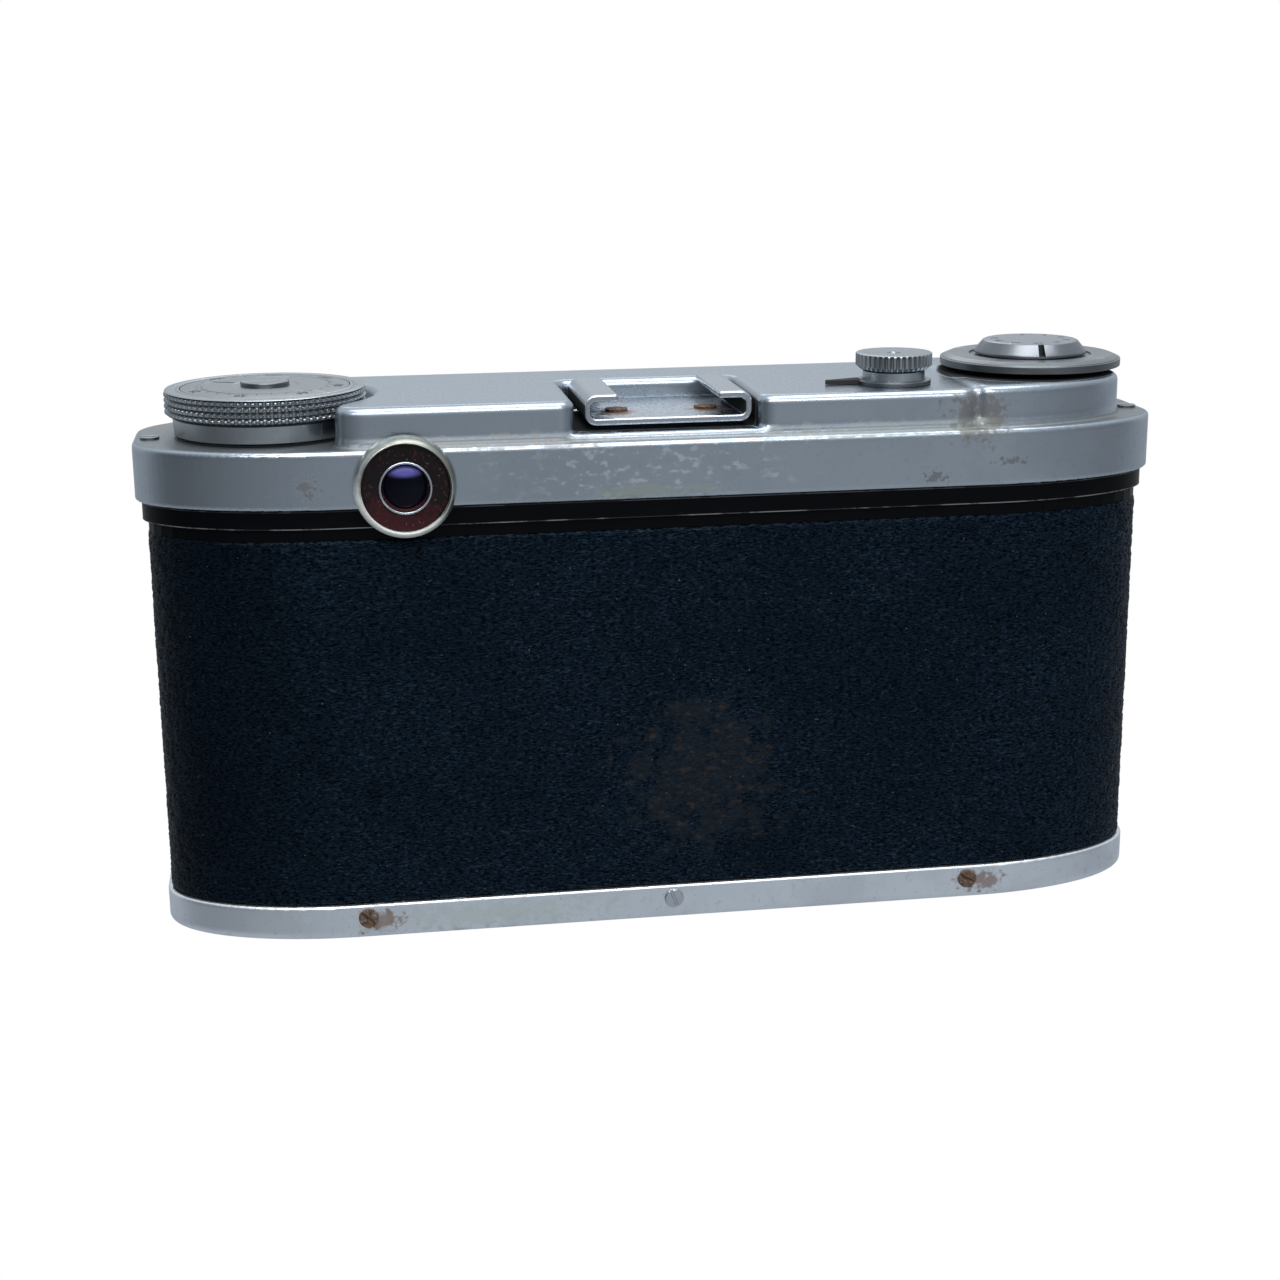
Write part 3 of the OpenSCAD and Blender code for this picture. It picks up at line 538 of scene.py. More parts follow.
cover_look = satin("satin_chrome", CHROME, 0.27)
cover_look.stain(((-38.5, 15.5, 63.6), (4.2, 3, 3.6), 0.9, 1.1, 3), OLD_OIL, 0.6, 0.5, 0.65)
cover_look.stain(((-26, 15.5, 62.6), (16, 2.5, 1), 1.0, 1.2, 5), VERDIGRIS, 0.6, 0.5, 0.4)
cover_look.stain(((22, 15.5, 62.6), (16, 2.5, 1), 1.0, 1.2, 8), DULL_BROWN, 0.6, 0.5, 0.45)
flecks = cover_look.both(
    cover_look.blot((4, 16.5, 58.5), (20, 3, 4.5), 0.4, 5, 1),
    cover_look.ramp(cover_look.noise(1.1, 6, 7, (1.6, 1, 1)), 0.53, 0.62),
)
cover_look.layer(flecks, (0.6, 0.64, 0.68), 0.5, amount=0.55)
cover_look.stain(((4, 16.5, 56.2), (9, 2, 0.8), 0.8, 1.5, 6), VERDIGRIS, 0.6, 0.5, 0.6)
for centre, radii in (
    ((-42.5, 15.5, 58.2), (2.2, 3, 0.5)),
    ((-33, 16.4, 56.6), (1.6, 3, 0.7)),
    ((44, 15, 58.2), (1.5, 3, 1.6)),
):
    cover_look.stain((centre, radii, 1.2, 0.6, 2), GRIME, 0.7, 0.2, 0.7)
# Painted shade: the notch round the accessory shoe darkened near black.
cover_look.soil(cover_look.inside((-11.4, -2.7, 62.9), (12.2, 13.2, 66.6)))
# Painted shadow and painted reflection: the turret top under the advance disc darkened near black.
disc_shadow = (ADVANCE[0], ADVANCE[1] + 0.9, TURRET_TOP)
disc_shadow = cover_look.blot(disc_shadow, (12.4, 12.4, 9), 0.01, soft=(0.96, 1.02))
cover_look.soil(cover_look.both(disc_shadow, cover_look.facing("Z", 0.9, 0.97)))
# Painted shade: a darker strip along the ledge at the foot of the deck, between the band's and the deck's edge
# highlights.
shaded_ledge = cover_look.inside((-80, -40, 62.22), (80, 40, 62.72), 0.08)
cover_look.layer(shaded_ledge, (0.14, 0.145, 0.14), 0.45, 0.7, 0.7, 0.3)
satin_chrome = cover_look.material

BASE_SCREWS = (-39, 0, 39)
base_look = satin("base_chrome", (0.74, 0.79, 0.85), 0.36, 0.6)
base_look.stain(((24, 15.7, 2.4), (15, 2, 1.6), 1.3, 1.1, 5), (0.4, 0.46, 0.44), 0.62, 0.5, 0.6)
for screw_x in BASE_SCREWS[::2]:
    base_look.stain(((screw_x - 1.6, 15.7, 2.4), (3.4, 2, 1.6), 0.8, 1.2), RUST, 0.75, 0.2, 0.75)
base_chrome = base_look.material

bright_chrome = satin("bright_chrome", (0.5, 0.53, 0.57), 0.2, 0.3).material
shoe_look = satin("shoe_chrome", (0.45, 0.48, 0.52), 0.26, 0.45)
for side in (-1, 1):
    shoe_look.stain(((side * 5.8, 8.2, 64.8), (2.8, 3, 1.2), 0.6, 1.2), RUST, 0.8, 0.2, 0.85)
# Painted shade: the shoe's sides darkened near black in the narrow gaps beside it.
for side in (-1, 1):
    shaded_flank = shoe_look.inside((side * 10.2 - 1.6, -5, 63), (side * 10.2 + 1.6, 15, 66.5), 0.2)
    shoe_look.soil(shoe_look.both(shaded_flank, shoe_look.facing("X", 0.3, 0.6)))
shoe_chrome = shoe_look.material

knob_steel = turned("knob_steel", (0.29, 0.31, 0.325), 0.34, 0.5)
knurl_look = satin("knurled_steel", (0.36, 0.39, 0.41), 0.3, 0.4)
# Painted shade: near black in the knurl's hollows.
knurl_look.layer(knurl_look.edges(0.42, 0.5, 1.0, 0.0), (0.012, 0.014, 0.017), 0.6, 0.3)
knurled_steel = knurl_look.material
steel = satin("steel", (0.4, 0.41, 0.42), 0.3, 0.3).material
counter_steel = turned("counter_steel", (0.37, 0.39, 0.42), 0.3, 0.25)
spring_steel = Look("spring_steel", (0.4, 0.41, 0.43), 0.3, 1.0).material
brass = satin("brass", (0.5, 0.37, 0.16), 0.35, 0.4).material

rust_look = Look("rusty_steel", (0.16, 0.1, 0.065), 0.75, 0.35)
rust_look.mottle((0.5, 4), 0.45, 0.6, (0.07, 0.035, 0.022), 0.9, 0.1)
rust_look.mottle((0.7, 4, 3), 0.56, 0.66, (0.32, 0.3, 0.28), 0.45, 0.9)
rust_look.bump((0.25, 4), 0.08)
rusty_steel = rust_look.material

alloy_look = Look("black_alloy", (0.018, 0.019, 0.021), 0.42)
alloy_look.mottle((3, 4), 0.5, 0.7, (0.03, 0.03, 0.032), 0.55)
alloy_look.bump((0.3, 3), 0.02, 0.5)
black_alloy = alloy_look.material
matt_black = Look("matt_black", (0.012, 0.012, 0.013), 0.75).material
case_look = Look("case_black", (0.0014, 0.0017, 0.0026), 0.3, Specular_IOR_Level=0.07)
case_look.mottle((6, 4, 0, (1, 1, 0.4)), 0.5, 0.7, (0.0022, 0.0026, 0.0034), 0.3)
case_black = case_look.material
blade_steel = Look("blade_steel", (0.1, 0.105, 0.115), 0.35, 0.9).material
ink = Look("ink", (0.01, 0.01, 0.011)).material
white_ink = Look("white_ink", (0.75, 0.75, 0.72)).material

leather_look = Look(
    "leatherette", (0.0022, 0.0066, 0.0140), 0.4, Specular_IOR_Level=0.12, Specular_Tint=(0.6, 0.84, 1, 1)
)
leather_look.mottle((0.34, 3, 0, (1.8, 1, 0.65)), 0.5, 0.68, (0.018, 0.035, 0.058), 0.3, amount=0.75)
leather_look.mottle((0.27, 2, 8, (2.2, 1, 0.7)), 0.49, 0.57, (0.0002, 0.0004, 0.001), 0.6, None, 0.85, 0.02)
leather_look.mottle((18, 3, 2), 0.42, 0.66, (0.0005, 0.0015, 0.004), 0.4, amount=0.4)
# Darker over the whole +X end of the covering.
leather_look.stain(((68, 8, 40), (30, 22, 75), 0.15, 12), (0.0006, 0.0014, 0.003), 0.4, amount=0.55)
worn = leather_look.blot((-4, 15.5, 19), (11, 6, 10), 0.9, 3, 4)
leather_look.layer(worn, (0.011, 0.014, 0.018), 0.5, amount=0.7)
brown = leather_look.both(worn, leather_look.ramp(leather_look.noise(1.3, 5, 6, (1.3, 1, 0.7)), 0.56, 0.64))
leather_look.layer(brown, (0.04, 0.026, 0.02), 0.7, amount=0.6)
leather_look.mottle((0.42, 1, 5), 0.79, 0.8, (0.10, 0.09, 0.08), 0.7)
leather_look.bump((0.22, 4, 1), 0.03, 0.5)
leatherette = leather_look.material

insert_look = Look("insert_enamel", (0.006, 0.0035, 0.004), 0.35, Specular_IOR_Level=0.2)
# Painted light: the dark enamel shows red towards its lower +X side, where the ring is painted lit.
insert_look.stain((EYEPIECE + (1.5, 0, -4), (7, 9, 4), 0.6, 1.5), (0.034, 0.005, 0.008), 0.5)
insert_look.mottle((0.55, 4), 0.58, 0.66, (0.05, 0.01, 0.012), 0.5)
insert_look.mottle((0.4, 4, 5), 0.64, 0.69, (0.14, 0.11, 0.09), 0.6)
insert_enamel = insert_look.material


def glass(name, tint, roughness=0.04):
    """Coated glass seen from outside: dark, with a coloured sheen at its reflections."""
    tint = (*tint, 1)
    sheen = {"Specular_IOR_Level": 1.0, "Specular_Tint": tint, "Coat_Weight": 0.4, "Coat_Tint": tint}
    return Look(name, (0.004, 0.005, 0.008), roughness, IOR=1.7, **sheen).material


eyepiece_look = Look("eyepiece_glass_painted_sheen", (0.0008, 0.0012, 0.005), 0.06, Specular_IOR_Level=0.12)
# Painted reflection: a violet crescent near the top of the eyepiece glass.
eyepiece_look.stain((EYEPIECE + (0, 0, 2.3), (3.2, 4, 1.15), 0.05), (0.13, 0.12, 0.42), 0.2, amount=0.9)
eyepiece_glass_painted_sheen = eyepiece_look.material
coated_glass = glass("coated_glass", (0.35, 0.28, 1.0))
blue_glass = glass("blue_glass", (0.4, 0.55, 1.0))
amber_glass = glass("amber_glass", (1.0, 0.75, 0.35))
clear_glass = glass("clear_glass", (0.75, 0.88, 0.95))
mirror_glass = Look("mirror_glass", (0.8, 0.83, 0.86), 0.03, 1.0).material


# ---- top cover -------------------------------------------------------------------------------

def body_outline(inset=0, steps=28):
    """Points of the camera's outline, anticlockwise."""
    return soft_rectangle(HALF_X - inset, HALF_Y - inset, CORNER[0] - inset, CORNER[1] - inset, steps)


cover_outline = Outline(body_outline())
DECK_REAR = 15.5
DECK_FRONT = -13.25
deck_middle = (DECK_REAR + DECK_FRONT) / 2
deck_points = soft_rectangle(60.5, (DECK_REAR - DECK_FRONT) / 2, 20.9, 11.5) + (0, deck_middle)
deck_outline = Outline(deck_points)
DECK_END = 42.3
CREASE_X = -38.6
NOTCH = (-10.9, 11.7, -3.2, 63.2)
SHOE_PAD = ((-8.9, -2, 62.7), (8.9, 12, 63.8))
KNOB_BAY_R = 13.1


def cover_outside(x, y, z):
    """The pressed top cover: band, raised deck, turret and the notch for the accessory shoe."""
    whole = deck_outline.at(x, y)
    bay = KNOB_BAY_R - np.hypot(x - REWIND[0], y - REWIND[1])
    left, right, front, floor = NOTCH
    notch = round_max(np.abs(x - (left + right) / 2) - (right - left) / 2, front - y, 1.5)
    floor_plan = round_max(round_max(whole, x - DECK_END, 5.5), bay, 4)
    deck_plan = round_max(round_max(floor_plan, CREASE_X - 0.9 - x, 3), -notch, 2)
    turret_plan = round_max(whole, x - CREASE_X, 1.6)
    deck = round_max(deck_plan, z - RAISED_DECK, 1)
    turret = round_max(turret_plan, z - TURRET_TOP, 1)
    raised = round_min(deck, turret, 0.8)
    raised = round_min(raised, round_max(floor_plan, z - floor, 0.35), 0.5)
    raised = round_min(raised, box_field(x, y, z, *SHOE_PAD, 0.15), 0.1)
    band = round_max(cover_outline.at(x, y), z - LOWER_DECK, 0.6)
    return round_min(band, raised, 0.55)


def cover_field(x, y, z):
    out = cover_outside(x, y, z)
    out = np.maximum(out, -(out + 1))
    out = round_max(out, BAND_BOTTOM - z, 0.3)
    for centre, r in ((REWIND, 3.1), (ADVANCE, 4.1), (RELEASE, 4.0)):
        out = np.maximum(out, -disc_field(x, y, centre, r))
    for node in ("viewfinder_window", "rangefinder_window"):
        low, high = node_box(node)
        low = low - (0.05, 3, 0.05)
        high = high + (0.05, 3, 0.05)
        out = round_max(out, -box_field(x, y, z, low, high, 0.3), 0.25)
    return out


def sheet_metal(name, field, low, high, step, material, body, replaced):
    mesh = surface(name, field, low, high, step)
    return piece_of_mesh(name, mesh, material, body, [replaced], sharp=None)


DETAIL = 0.36
cover_limits = ((-66, -17.5, 54.2), (66, 17.5, 69))
sheet_metal("cover_skin", cover_field, *cover_limits, DETAIL, satin_chrome, "camera_body", "top_cover")

# ---- base plate ------------------------------------------------------------------------------

plate_outline = Outline(body_outline(PLATE_INSET))
KEY_XS = (middle("lock_key_left")[0], middle("lock_key_right")[0])
BASE_SCREW_Z = 2.8


def plate_field(x, y, z):
    outline = plate_outline.at(x, y)
    outside = round_max(outline, -z, 1.0)
    out = np.maximum(outside, -np.maximum(outline + 1.05, 1 - z))
    out = round_max(out, z - RIM_TOP, 0.25)
    for key_x in KEY_XS:
        out = round_max(out, 7.05 - np.hypot(x - key_x, y), 0.2)
    out = round_max(out, 5.02 - np.hypot(x, y), 0.2)
    return out


plate_limits = ((-65.5, -16.8, -1), (65.5, 16.8, 5.5))
sheet_metal("base_skin", plate_field, *plate_limits, DETAIL, base_chrome, "back", "bottom_plate")

# ---- accessory shoe --------------------------------------------------------------------------

SHOE_SHEET = 0.85
SHOE_LIP = 6.25


def shoe_field(x, y, z):
    side = np.abs(x)
    half = SHOE_HIGH[0]
    bottom, top = SHOE_LOW[2], SHOE_HIGH[2]
    outer = box_field(side, np.zeros(1), z, (-half, -9, bottom), (half, 9, top), 1.5)
    section = np.maximum(outer, -(outer + SHOE_SHEET))
    section = round_max(section, -np.maximum(side - SHOE_LIP, bottom + SHOE_SHEET * 1.6 - z), 0.2)
    middle_y = (SHOE_LOW[1] + SHOE_HIGH[1]) / 2
    return round_max(section, np.abs(y - middle_y) - (SHOE_HIGH[1] - SHOE_LOW[1]) / 2, 0.2)


shoe_limits = (SHOE_LOW - 0.8, SHOE_HIGH + 0.8)
sheet_metal("shoe_skin", shoe_field, *shoe_limits, DETAIL * 0.6, shoe_chrome, "camera_body", "accessory_shoe")

# ---- leather covering ------------------------------------------------------------------------


def hashed(i, j, seed):
    """Repeatable values between 0 and 1 for whole-number places."""
    value = np.sin(i * 127.1 + j * 311.7 + seed * 74.7) * 43758.5453
    return value - np.floor(value)


def pebbles(u, v, size, seed):
    """Rounded cells with thin valleys between them: 0 in the valleys, 1 on the crowns."""
    a, b = u / size, v / size
    i, j = np.floor(a), np.floor(b)
    nearest = np.full(u.shape, 9.0)
    second = np.full(u.shape, 9.0)
    for di in (-1, 0, 1):
        for dj in (-1, 0, 1):
            x = i + di + hashed(i + di, j + dj, seed)
            y = j + dj + hashed(i + di, j + dj, seed + 1)
            d = np.hypot(a - x, b - y)
            second = np.minimum(second, np.maximum(nearest, d))
            nearest = np.minimum(nearest, d)
    return 1 - np.exp(-6 * (second - nearest))


def swell(u, v, size, seed):
    """Smooth noise between 0 and 1."""
    a, b = u / size, v / size
    i, j = np.floor(a), np.floor(b)
    s, t = a - i, b - j
    s = s * s * (3 - 2 * s)
    t = t * t * (3 - 2 * t)
    low = hashed(i, j, seed) * (1 - s) + hashed(i + 1, j, seed) * s
    high = hashed(i, j + 1, seed) * (1 - s) + hashed(i + 1, j + 1, seed) * s
    return low * (1 - t) + high * t


def grain(u, v):
    """Height of the leather grain, in millimetres below its crowns."""
    bend_u = u + 0.9 * swell(u, v, 2.3, 11) + 0.5 * swell(u, v, 0.9, 12)
    bend_v = v + 0.7 * swell(u, v, 2.3, 13) + 0.35 * swell(u, v, 0.9, 14)
    cells = pebbles(bend_u * 0.72, bend_v * 1.15, 0.72, 1)
    creases = pebbles(bend_u * 0.42, bend_v * 1.25, 1.5, 5)
    return -0.13 * (1 - cells) - 0.12 * (1 - creases) - 0.06 * swell(u, v, 1.7, 21)


def walk(points, step):
    """Even steps along an open line, with the distance gone and the outward direction at each step."""
    length = np.concatenate([[0], np.cumsum(np.hypot(*np.diff(points, axis=0).T))])
    u = np.linspace(0, length[-1], int(length[-1] / step) + 1)
    x = np.interp(u, length, points[:, 0])
    y = np.interp(u, length, points[:, 1])
    dx, dy = np.gradient(x), np.gradient(y)
    out = np.stack([dy, -dx], -1) / np.hypot(dx, dy)[:, None]
    return np.stack([x, y], -1), u, out


def half_outline(rear, inset, y0):
    """The rear or front part of the camera's outline, as an open line anticlockwise."""
    points = body_outline(inset, 60)
    start = np.argmin(np.hypot(points[:, 0] - (HALF_X if rear else -HALF_X), points[:, 1] - y0))
    points = np.roll(points, -start, 0)
    keep = points[:, 1] > y0 if rear else points[:, 1] < y0
    points = points[keep]
    gap = np.argmax(np.hypot(*np.diff(points, axis=0).T))
    if np.hypot(*(points[gap + 1] - points[gap])) > 100:
        points = np.roll(points, -(gap + 1), 0)
    return points


def covering(name, rear, y0, bottom, top, body, replaced, mount_r=None):
    """A sheet of grained leatherette glued round half of the body, with its edges turned in."""
    step = 0.27
    line, u, out = walk(half_outline(rear, LEATHER_INSET, y0), step)
    rows = np.linspace(bottom, top, int((top - bottom) / step) + 1)
    grid_u, grid_v = np.meshgrid(u, rows, indexing="ij")
    depth = grain(grid_u, grid_v)
    edge = np.minimum(np.minimum(grid_v - bottom, top - grid_v), np.minimum(grid_u, u[-1] - grid_u))
    depth = depth - 0.2 * np.clip(1 - edge / 0.4, 0, 1) ** 2

    def offset(distance):
        x, y = (line[:, axis, None] + out[:, axis, None] * distance for axis in (0, 1))
        return np.stack([x, y, grid_v], -1)

    verts = offset(depth)
    back = offset(0 * depth - LEATHER_THICKNESS)
    columns, count = len(u), len(rows)
    inner = columns * count
    faces = []
    i, j = np.meshgrid(np.arange(columns - 1), np.arange(count - 1), indexing="ij")
    a = (i * count + j).ravel()
    front = np.stack([a, a + count, a + count + 1, a + 1], -1)
    if mount_r:
        centre_x = verts[:, :, 0].ravel()[front].mean(1)
        centre_z = verts[:, :, 2].ravel()[front].mean(1)
        front = front[np.hypot(centre_x, centre_z - LENS_Z) > mount_r]
    faces.append(front)
    i = np.arange(columns - 1)
    for row, flip in ((0, True), (count - 1, False)):
        a = i * count + row
        rim = np.stack([a, a + count, a + count + inner, a + inner], -1)
        faces.append(rim[:, ::-1] if flip else rim)
    j = np.arange(count - 1)
    for column, flip in ((0, False), (columns - 1, True)):
        a = column * count + j
        rim = np.stack([a, a + 1, a + 1 + inner, a + inner], -1)
        faces.append(rim[:, ::-1] if flip else rim)
    verts = np.concatenate([verts.reshape(-1, 3), back.reshape(-1, 3)])
    faces = np.concatenate(faces)
    used, faces = np.unique(faces, return_inverse=True)
    mesh = quad_mesh(name, verts[used], faces.reshape(-1, 4))
    return piece_of_mesh(name, mesh, leatherette, body, [replaced], sharp=50)


back_low, back_high = node_box("back_covering")
covering("back_leather", True, SEAM_Y, back_low[2], back_high[2], "back", "back_covering")
front_low, front_high = node_box("front_covering")
MOUNT_R = half_size("lens_mount_ring")
front = ("camera_body", "front_covering", MOUNT_R - 0.4)
covering("front_leather", False, SEAM_Y - 0.15, front_low[2], front_high[2], *front)


# ---- eyepiece --------------------------------------------------------------------------------

REARWARD = Matrix.Rotation(math.radians(-90), 4, "X")
EYE = Matrix.Translation((EYEPIECE[0], HALF_Y, EYEPIECE[2])) @ REARWARD
RING_R = half_size("eyepiece_ring")
ring_look = satin("eyepiece_metal_painted_light", (0.5, 0.51, 0.48), 0.3, 0.6)
# Painted highlight: a pale cream patch on the ring's lower +X side.
ring_look.stain(((36, 18, 52.5), (10, 8, 7.5), 0.2), (0.92, 0.92, 0.87), 0.4, 0.25, 0.9)
# Painted shade: a darker greenish patch on the ring's upper side.
ring_look.stain(((29, 18, 62), (9, 5, 4), 0.3), (0.2, 0.21, 0.17), 0.4, amount=0.7)
ring_metal_painted_light = ring_look.material
lathe(
    "eyepiece_rim",
    rounded([(5.36, 0, 0), (RING_R, 0, 0.1), (RING_R - 0.12, 1.5, 0.5), (RING_R - 0.75, 2.2, 0.3),
             (5.36, 2.05, 0.2)]),
    ring_metal_painted_light, "camera_body", EYE, replaces=["eyepiece_ring"],
)
lathe(
    "eyepiece_disc",
    rounded([(2.4, 0.02, 0), (5.3, 0.02, 0.05), (5.3, 1.3, 0.2), (3.3, 1.22, 0.05), (2.86, 1.2, 0.05),
             (2.4, 0.6, 0)]),
    insert_enamel, "camera_body", EYE, replaces=["eyepiece_insert"],
)
lathe(
    "eyepiece_bezel",
    rounded([(2.84, 0.6, 0.02), (3.2, 0.6, 0.02), (3.2, 1.7, 0.12), (2.95, 1.75, 0.1), (2.84, 1.5, 0.05)]),
    bright_chrome, "camera_body", EYE,
)
dome = [(2.83 * math.sin(t), 1.05 + 2.2 * (math.cos(t) - 1) * 0.42) for t in np.linspace(math.pi / 2, 0, 14)]
lathe(
    "eyepiece_dome", [(0, 0.55), (2.83, 0.55)] + [(r, z + 0.35) for r, z in dome], eyepiece_glass_painted_sheen,
    "camera_body", EYE, segments=64, replaces=["eyepiece_lens"],
)

# ---- knurls and flutes -----------------------------------------------------------------------


def ridge(phase, width=0.5, soft=0.12):
    """1 on a ridge, 0 in the groove beside it, over one turn of the phase."""
    away = np.abs(phase - np.floor(phase) - 0.5)
    return np.clip((width / 2 + soft / 2 - away) / soft, 0, 1)


def bead_knurl(count, bottom, top, rows, depth, outer):
    """Rows of square beads around the rim of a knob."""

    def warp(r, z, angle):
        band = (z - bottom) / (top - bottom)
        around = 0.3 + 0.7 * ridge(angle * count / (2 * np.pi), 0.56, 0.2)
        along = ridge(band * rows, 0.6, 0.22)
        bead = np.minimum(around, along)
        return np.where((band > 0) & (band < 1) & (r > outer - 0.1), r - depth * (1 - bead), r)

    return warp


def flutes(count, bottom, top, depth, outer, width=0.55):
    """Straight grooves along the rim of a ring."""

    def warp(r, z, angle):
        inside = (z > bottom) & (z < top) & (r > outer - 0.35)
        return np.where(inside, r - depth * (1 - ridge(angle * count / (2 * np.pi), width, 0.22)), r)

    return warp


def side_rows(r, bottom, top, count):
    """Points up the side of a knurled rim, close enough together to carry its rows."""
    return [(r, z) for z in np.linspace(bottom, top, count)]


# ---- rewind knob -----------------------------------------------------------------------------

NECK_R = REWIND_R - 0.9
KNURL = (65.1, 68.0)
neck_z = node_box("rewind_knob")[0][2]
DIAL_R = REWIND_R - 2
at_rewind = upright(REWIND)
lathe(
    "rewind_knurl",
    [(3.4, neck_z), *rounded([(NECK_R - 0.5, neck_z, 0.1), (NECK_R, neck_z + 0.5, 0.2)]),
     (NECK_R, KNURL[0] - 0.3), (NECK_R - 0.25, KNURL[0] - 0.1), (NECK_R - 0.2, KNURL[0] + 0.02),
     (REWIND_R - 0.35, KNURL[0] + 0.02)]
    + side_rows(REWIND_R, KNURL[0] + 0.06, KNURL[1] - 0.04, 34)
    + [(REWIND_R - 0.1, KNURL[1] + 0.06), (REWIND_R - 0.2, KNURL[1] + 0.16), (REWIND_R - 0.35, KNURL[1] + 0.2),
       (DIAL_R + 0.7, KNURL[1] + 0.2), (DIAL_R + 0.55, KNURL[1] + 0.1), (DIAL_R + 0.4, KNURL[1] + 0.2),
       (DIAL_R + 0.08, KNURL[1] + 0.2), (DIAL_R + 0.04, KNURL[1] - 0.55), (3.4, KNURL[1] - 0.55)],
    knurled_steel, "rewind_knob", at_rewind, segments=704,
    warp=bead_knurl(88, KNURL[0] + 0.04, KNURL[1], 4, 0.45, REWIND_R),
    replaces=["rewind_knob"],
)
dial_top = node_box("reminder_dial")[1][2]
dial_profile = rounded(
    [(2.04, KNURL[1] - 0.5, 0), (DIAL_R, KNURL[1] - 0.5, 0.05), (DIAL_R, KNURL[1] + 0.2, 0.1),
     (8.1, dial_top - 0.05, 0.06), (7.9, dial_top - 0.16, 0.05), (7.7, dial_top - 0.04, 0.05),
     (4.2, dial_top, 0.08), (3.9, dial_top - 0.1, 0.05), (2.04, dial_top - 0.1, 0)]
)
lathe(
    "film_dial", dial_profile, knob_steel, "reminder_dial", at_rewind, segments=160, replaces=["reminder_dial"],
)


def slotted(
    name, radius, bottom, top, slot_width, slot_depth, angle, material, body, place, bevel=0.12, **options
):
    """The head of a slotted screw, as a disc cut by a slot."""

    def field(x, y, z):
        c, s = math.cos(angle), math.sin(angle)
        disc = round_max(np.hypot(x, y) - radius, z - top, bevel)
        disc = np.maximum(disc, bottom - z)
        gap = np.maximum(np.abs(-s * x + c * y) - slot_width / 2, top - slot_depth - z)
        return round_max(disc, -gap, 0.04)

    step = radius / 26
    mesh = surface(name, field, (-radius - step * 2, -radius - step * 2, bottom - step * 2),
                   (radius + step * 2, radius + step * 2, top + step * 2), step)
    mesh.transform(Matrix.Scale(1 / MM, 4))
    mesh.transform(Matrix(place))
    mesh.transform(Matrix.Scale(MM, 4))
    return piece_of_mesh(name, mesh, material, body, sharp=None, **options)


hub_high = node_box("rewind_hub_screw")[1][2]
slotted(
    "rewind_hub", 3.0, dial_top - 0.2, hub_high, 0.55, 0.25, math.radians(8), knob_steel, "rewind_knob",
    at_rewind, replaces=["rewind_hub_screw"], slot="bright_chrome",
)

# ---- advance knob and frame counter ----------------------------------------------------------

at_advance = upright(ADVANCE)
ADVANCE_R = half_size("advance_knob")
disc_top = node_box("advance_knob")[1][2]
disc_low = disc_top - 1.4
COUNTER_R = half_size("counter_dial", 1)
lathe(
    "advance_disc",
    rounded([(2.6, 66.3, 0), (3.95, 66.3, 0.05), (3.95, disc_low, 0.02), (ADVANCE_R, disc_low, 0.1),
             (ADVANCE_R, disc_low + 0.92, 0.06), (ADVANCE_R - 0.22, disc_low + 0.94, 0.02),
             (ADVANCE_R - 0.28, disc_low + 1.04, 0.05), (ADVANCE_R - 1.1, disc_top, 0.2),
             (9, disc_top - 0.04, 0.3),
             (COUNTER_R + 0.65, disc_top - 0.02, 0.08), (COUNTER_R + 0.6, disc_top - 0.3, 0.04),
             (COUNTER_R - 0.5, disc_top - 0.3, 0), (2.6, disc_top - 0.3, 0)]),
    knob_steel, "advance_knob", at_advance, segments=180, replaces=["advance_knob"],
)
counter_top = node_box("counter_dial")[1][2]
MARK_ANGLE = math.radians(84)
COUNTER_TOP_R = 6.1


def counter_notch(r, z, angle):
    near = np.abs(np.angle(np.exp(1j * (angle - MARK_ANGLE)))) < math.radians(3.2)
    return np.where(near & (r > 5.7) & (z > disc_top + 0.3) & (z < counter_top - 0.06), 5.7, r)


lathe(
    "counter_disc",
    rounded([(0, disc_top - 0.28, 0), (COUNTER_R - 1.0, disc_top - 0.28, 0.05),
             (COUNTER_R - 0.95, disc_top + 0.05, 0.05), (COUNTER_R, disc_top + 0.06, 0.04),
             (COUNTER_R, disc_top + 0.36, 0.12),
             (COUNTER_TOP_R + 0.02, counter_top - 0.1, 0.05), (COUNTER_TOP_R - 0.2, counter_top, 0.08),
             (0, counter_top, 0)]),
    counter_steel, "counter_dial", at_advance, segments=720, warp=counter_notch, replaces=["counter_dial"],
)
lathe(
    "counter_core",
    [(0, disc_top - 0.2), (5.9, disc_top - 0.2), (5.9, counter_top - 0.2), (0, counter_top - 0.2)],
    ink, "counter_dial", at_advance, segments=64,
)

# ---- release button --------------------------------------------------------------------------

at_release = upright(RELEASE)
head_low, head_high = node_box("release_button")
HEAD_R = half_size("release_button")
head_top = head_high[2]
head_bottom = head_top - 2
lathe(
    "release_head",
    [(0, head_low[2]), (1.2, head_low[2]), (1.2, 65.6), (3.9, 65.6), (3.9, head_bottom - 0.25),
     (3.6, head_bottom - 0.15), (3.6, head_bottom), (HEAD_R - 0.55, head_bottom),
     (HEAD_R - 0.1, head_bottom + 0.4)]
    + side_rows(HEAD_R, head_bottom + 0.44, head_top - 0.14, 8)
    + [(HEAD_R - 0.05, head_top - 0.06), (HEAD_R - 0.15, head_top), (HEAD_R - 0.9, head_top),
       (2.2, head_top - 0.08), (0.9, head_top - 0.08), (0.7, head_top - 0.5), (0, head_top - 0.5)],
    knurled_steel, "release_button", at_release, segments=480,
    warp=flutes(40, head_bottom + 0.1, head_top - 0.08, 0.32, HEAD_R, 0.6), replaces=["release_button"],
)
spring_low, spring_high = node_box("release_spring")
COIL_STEPS = 168
COIL_SIDES = 8
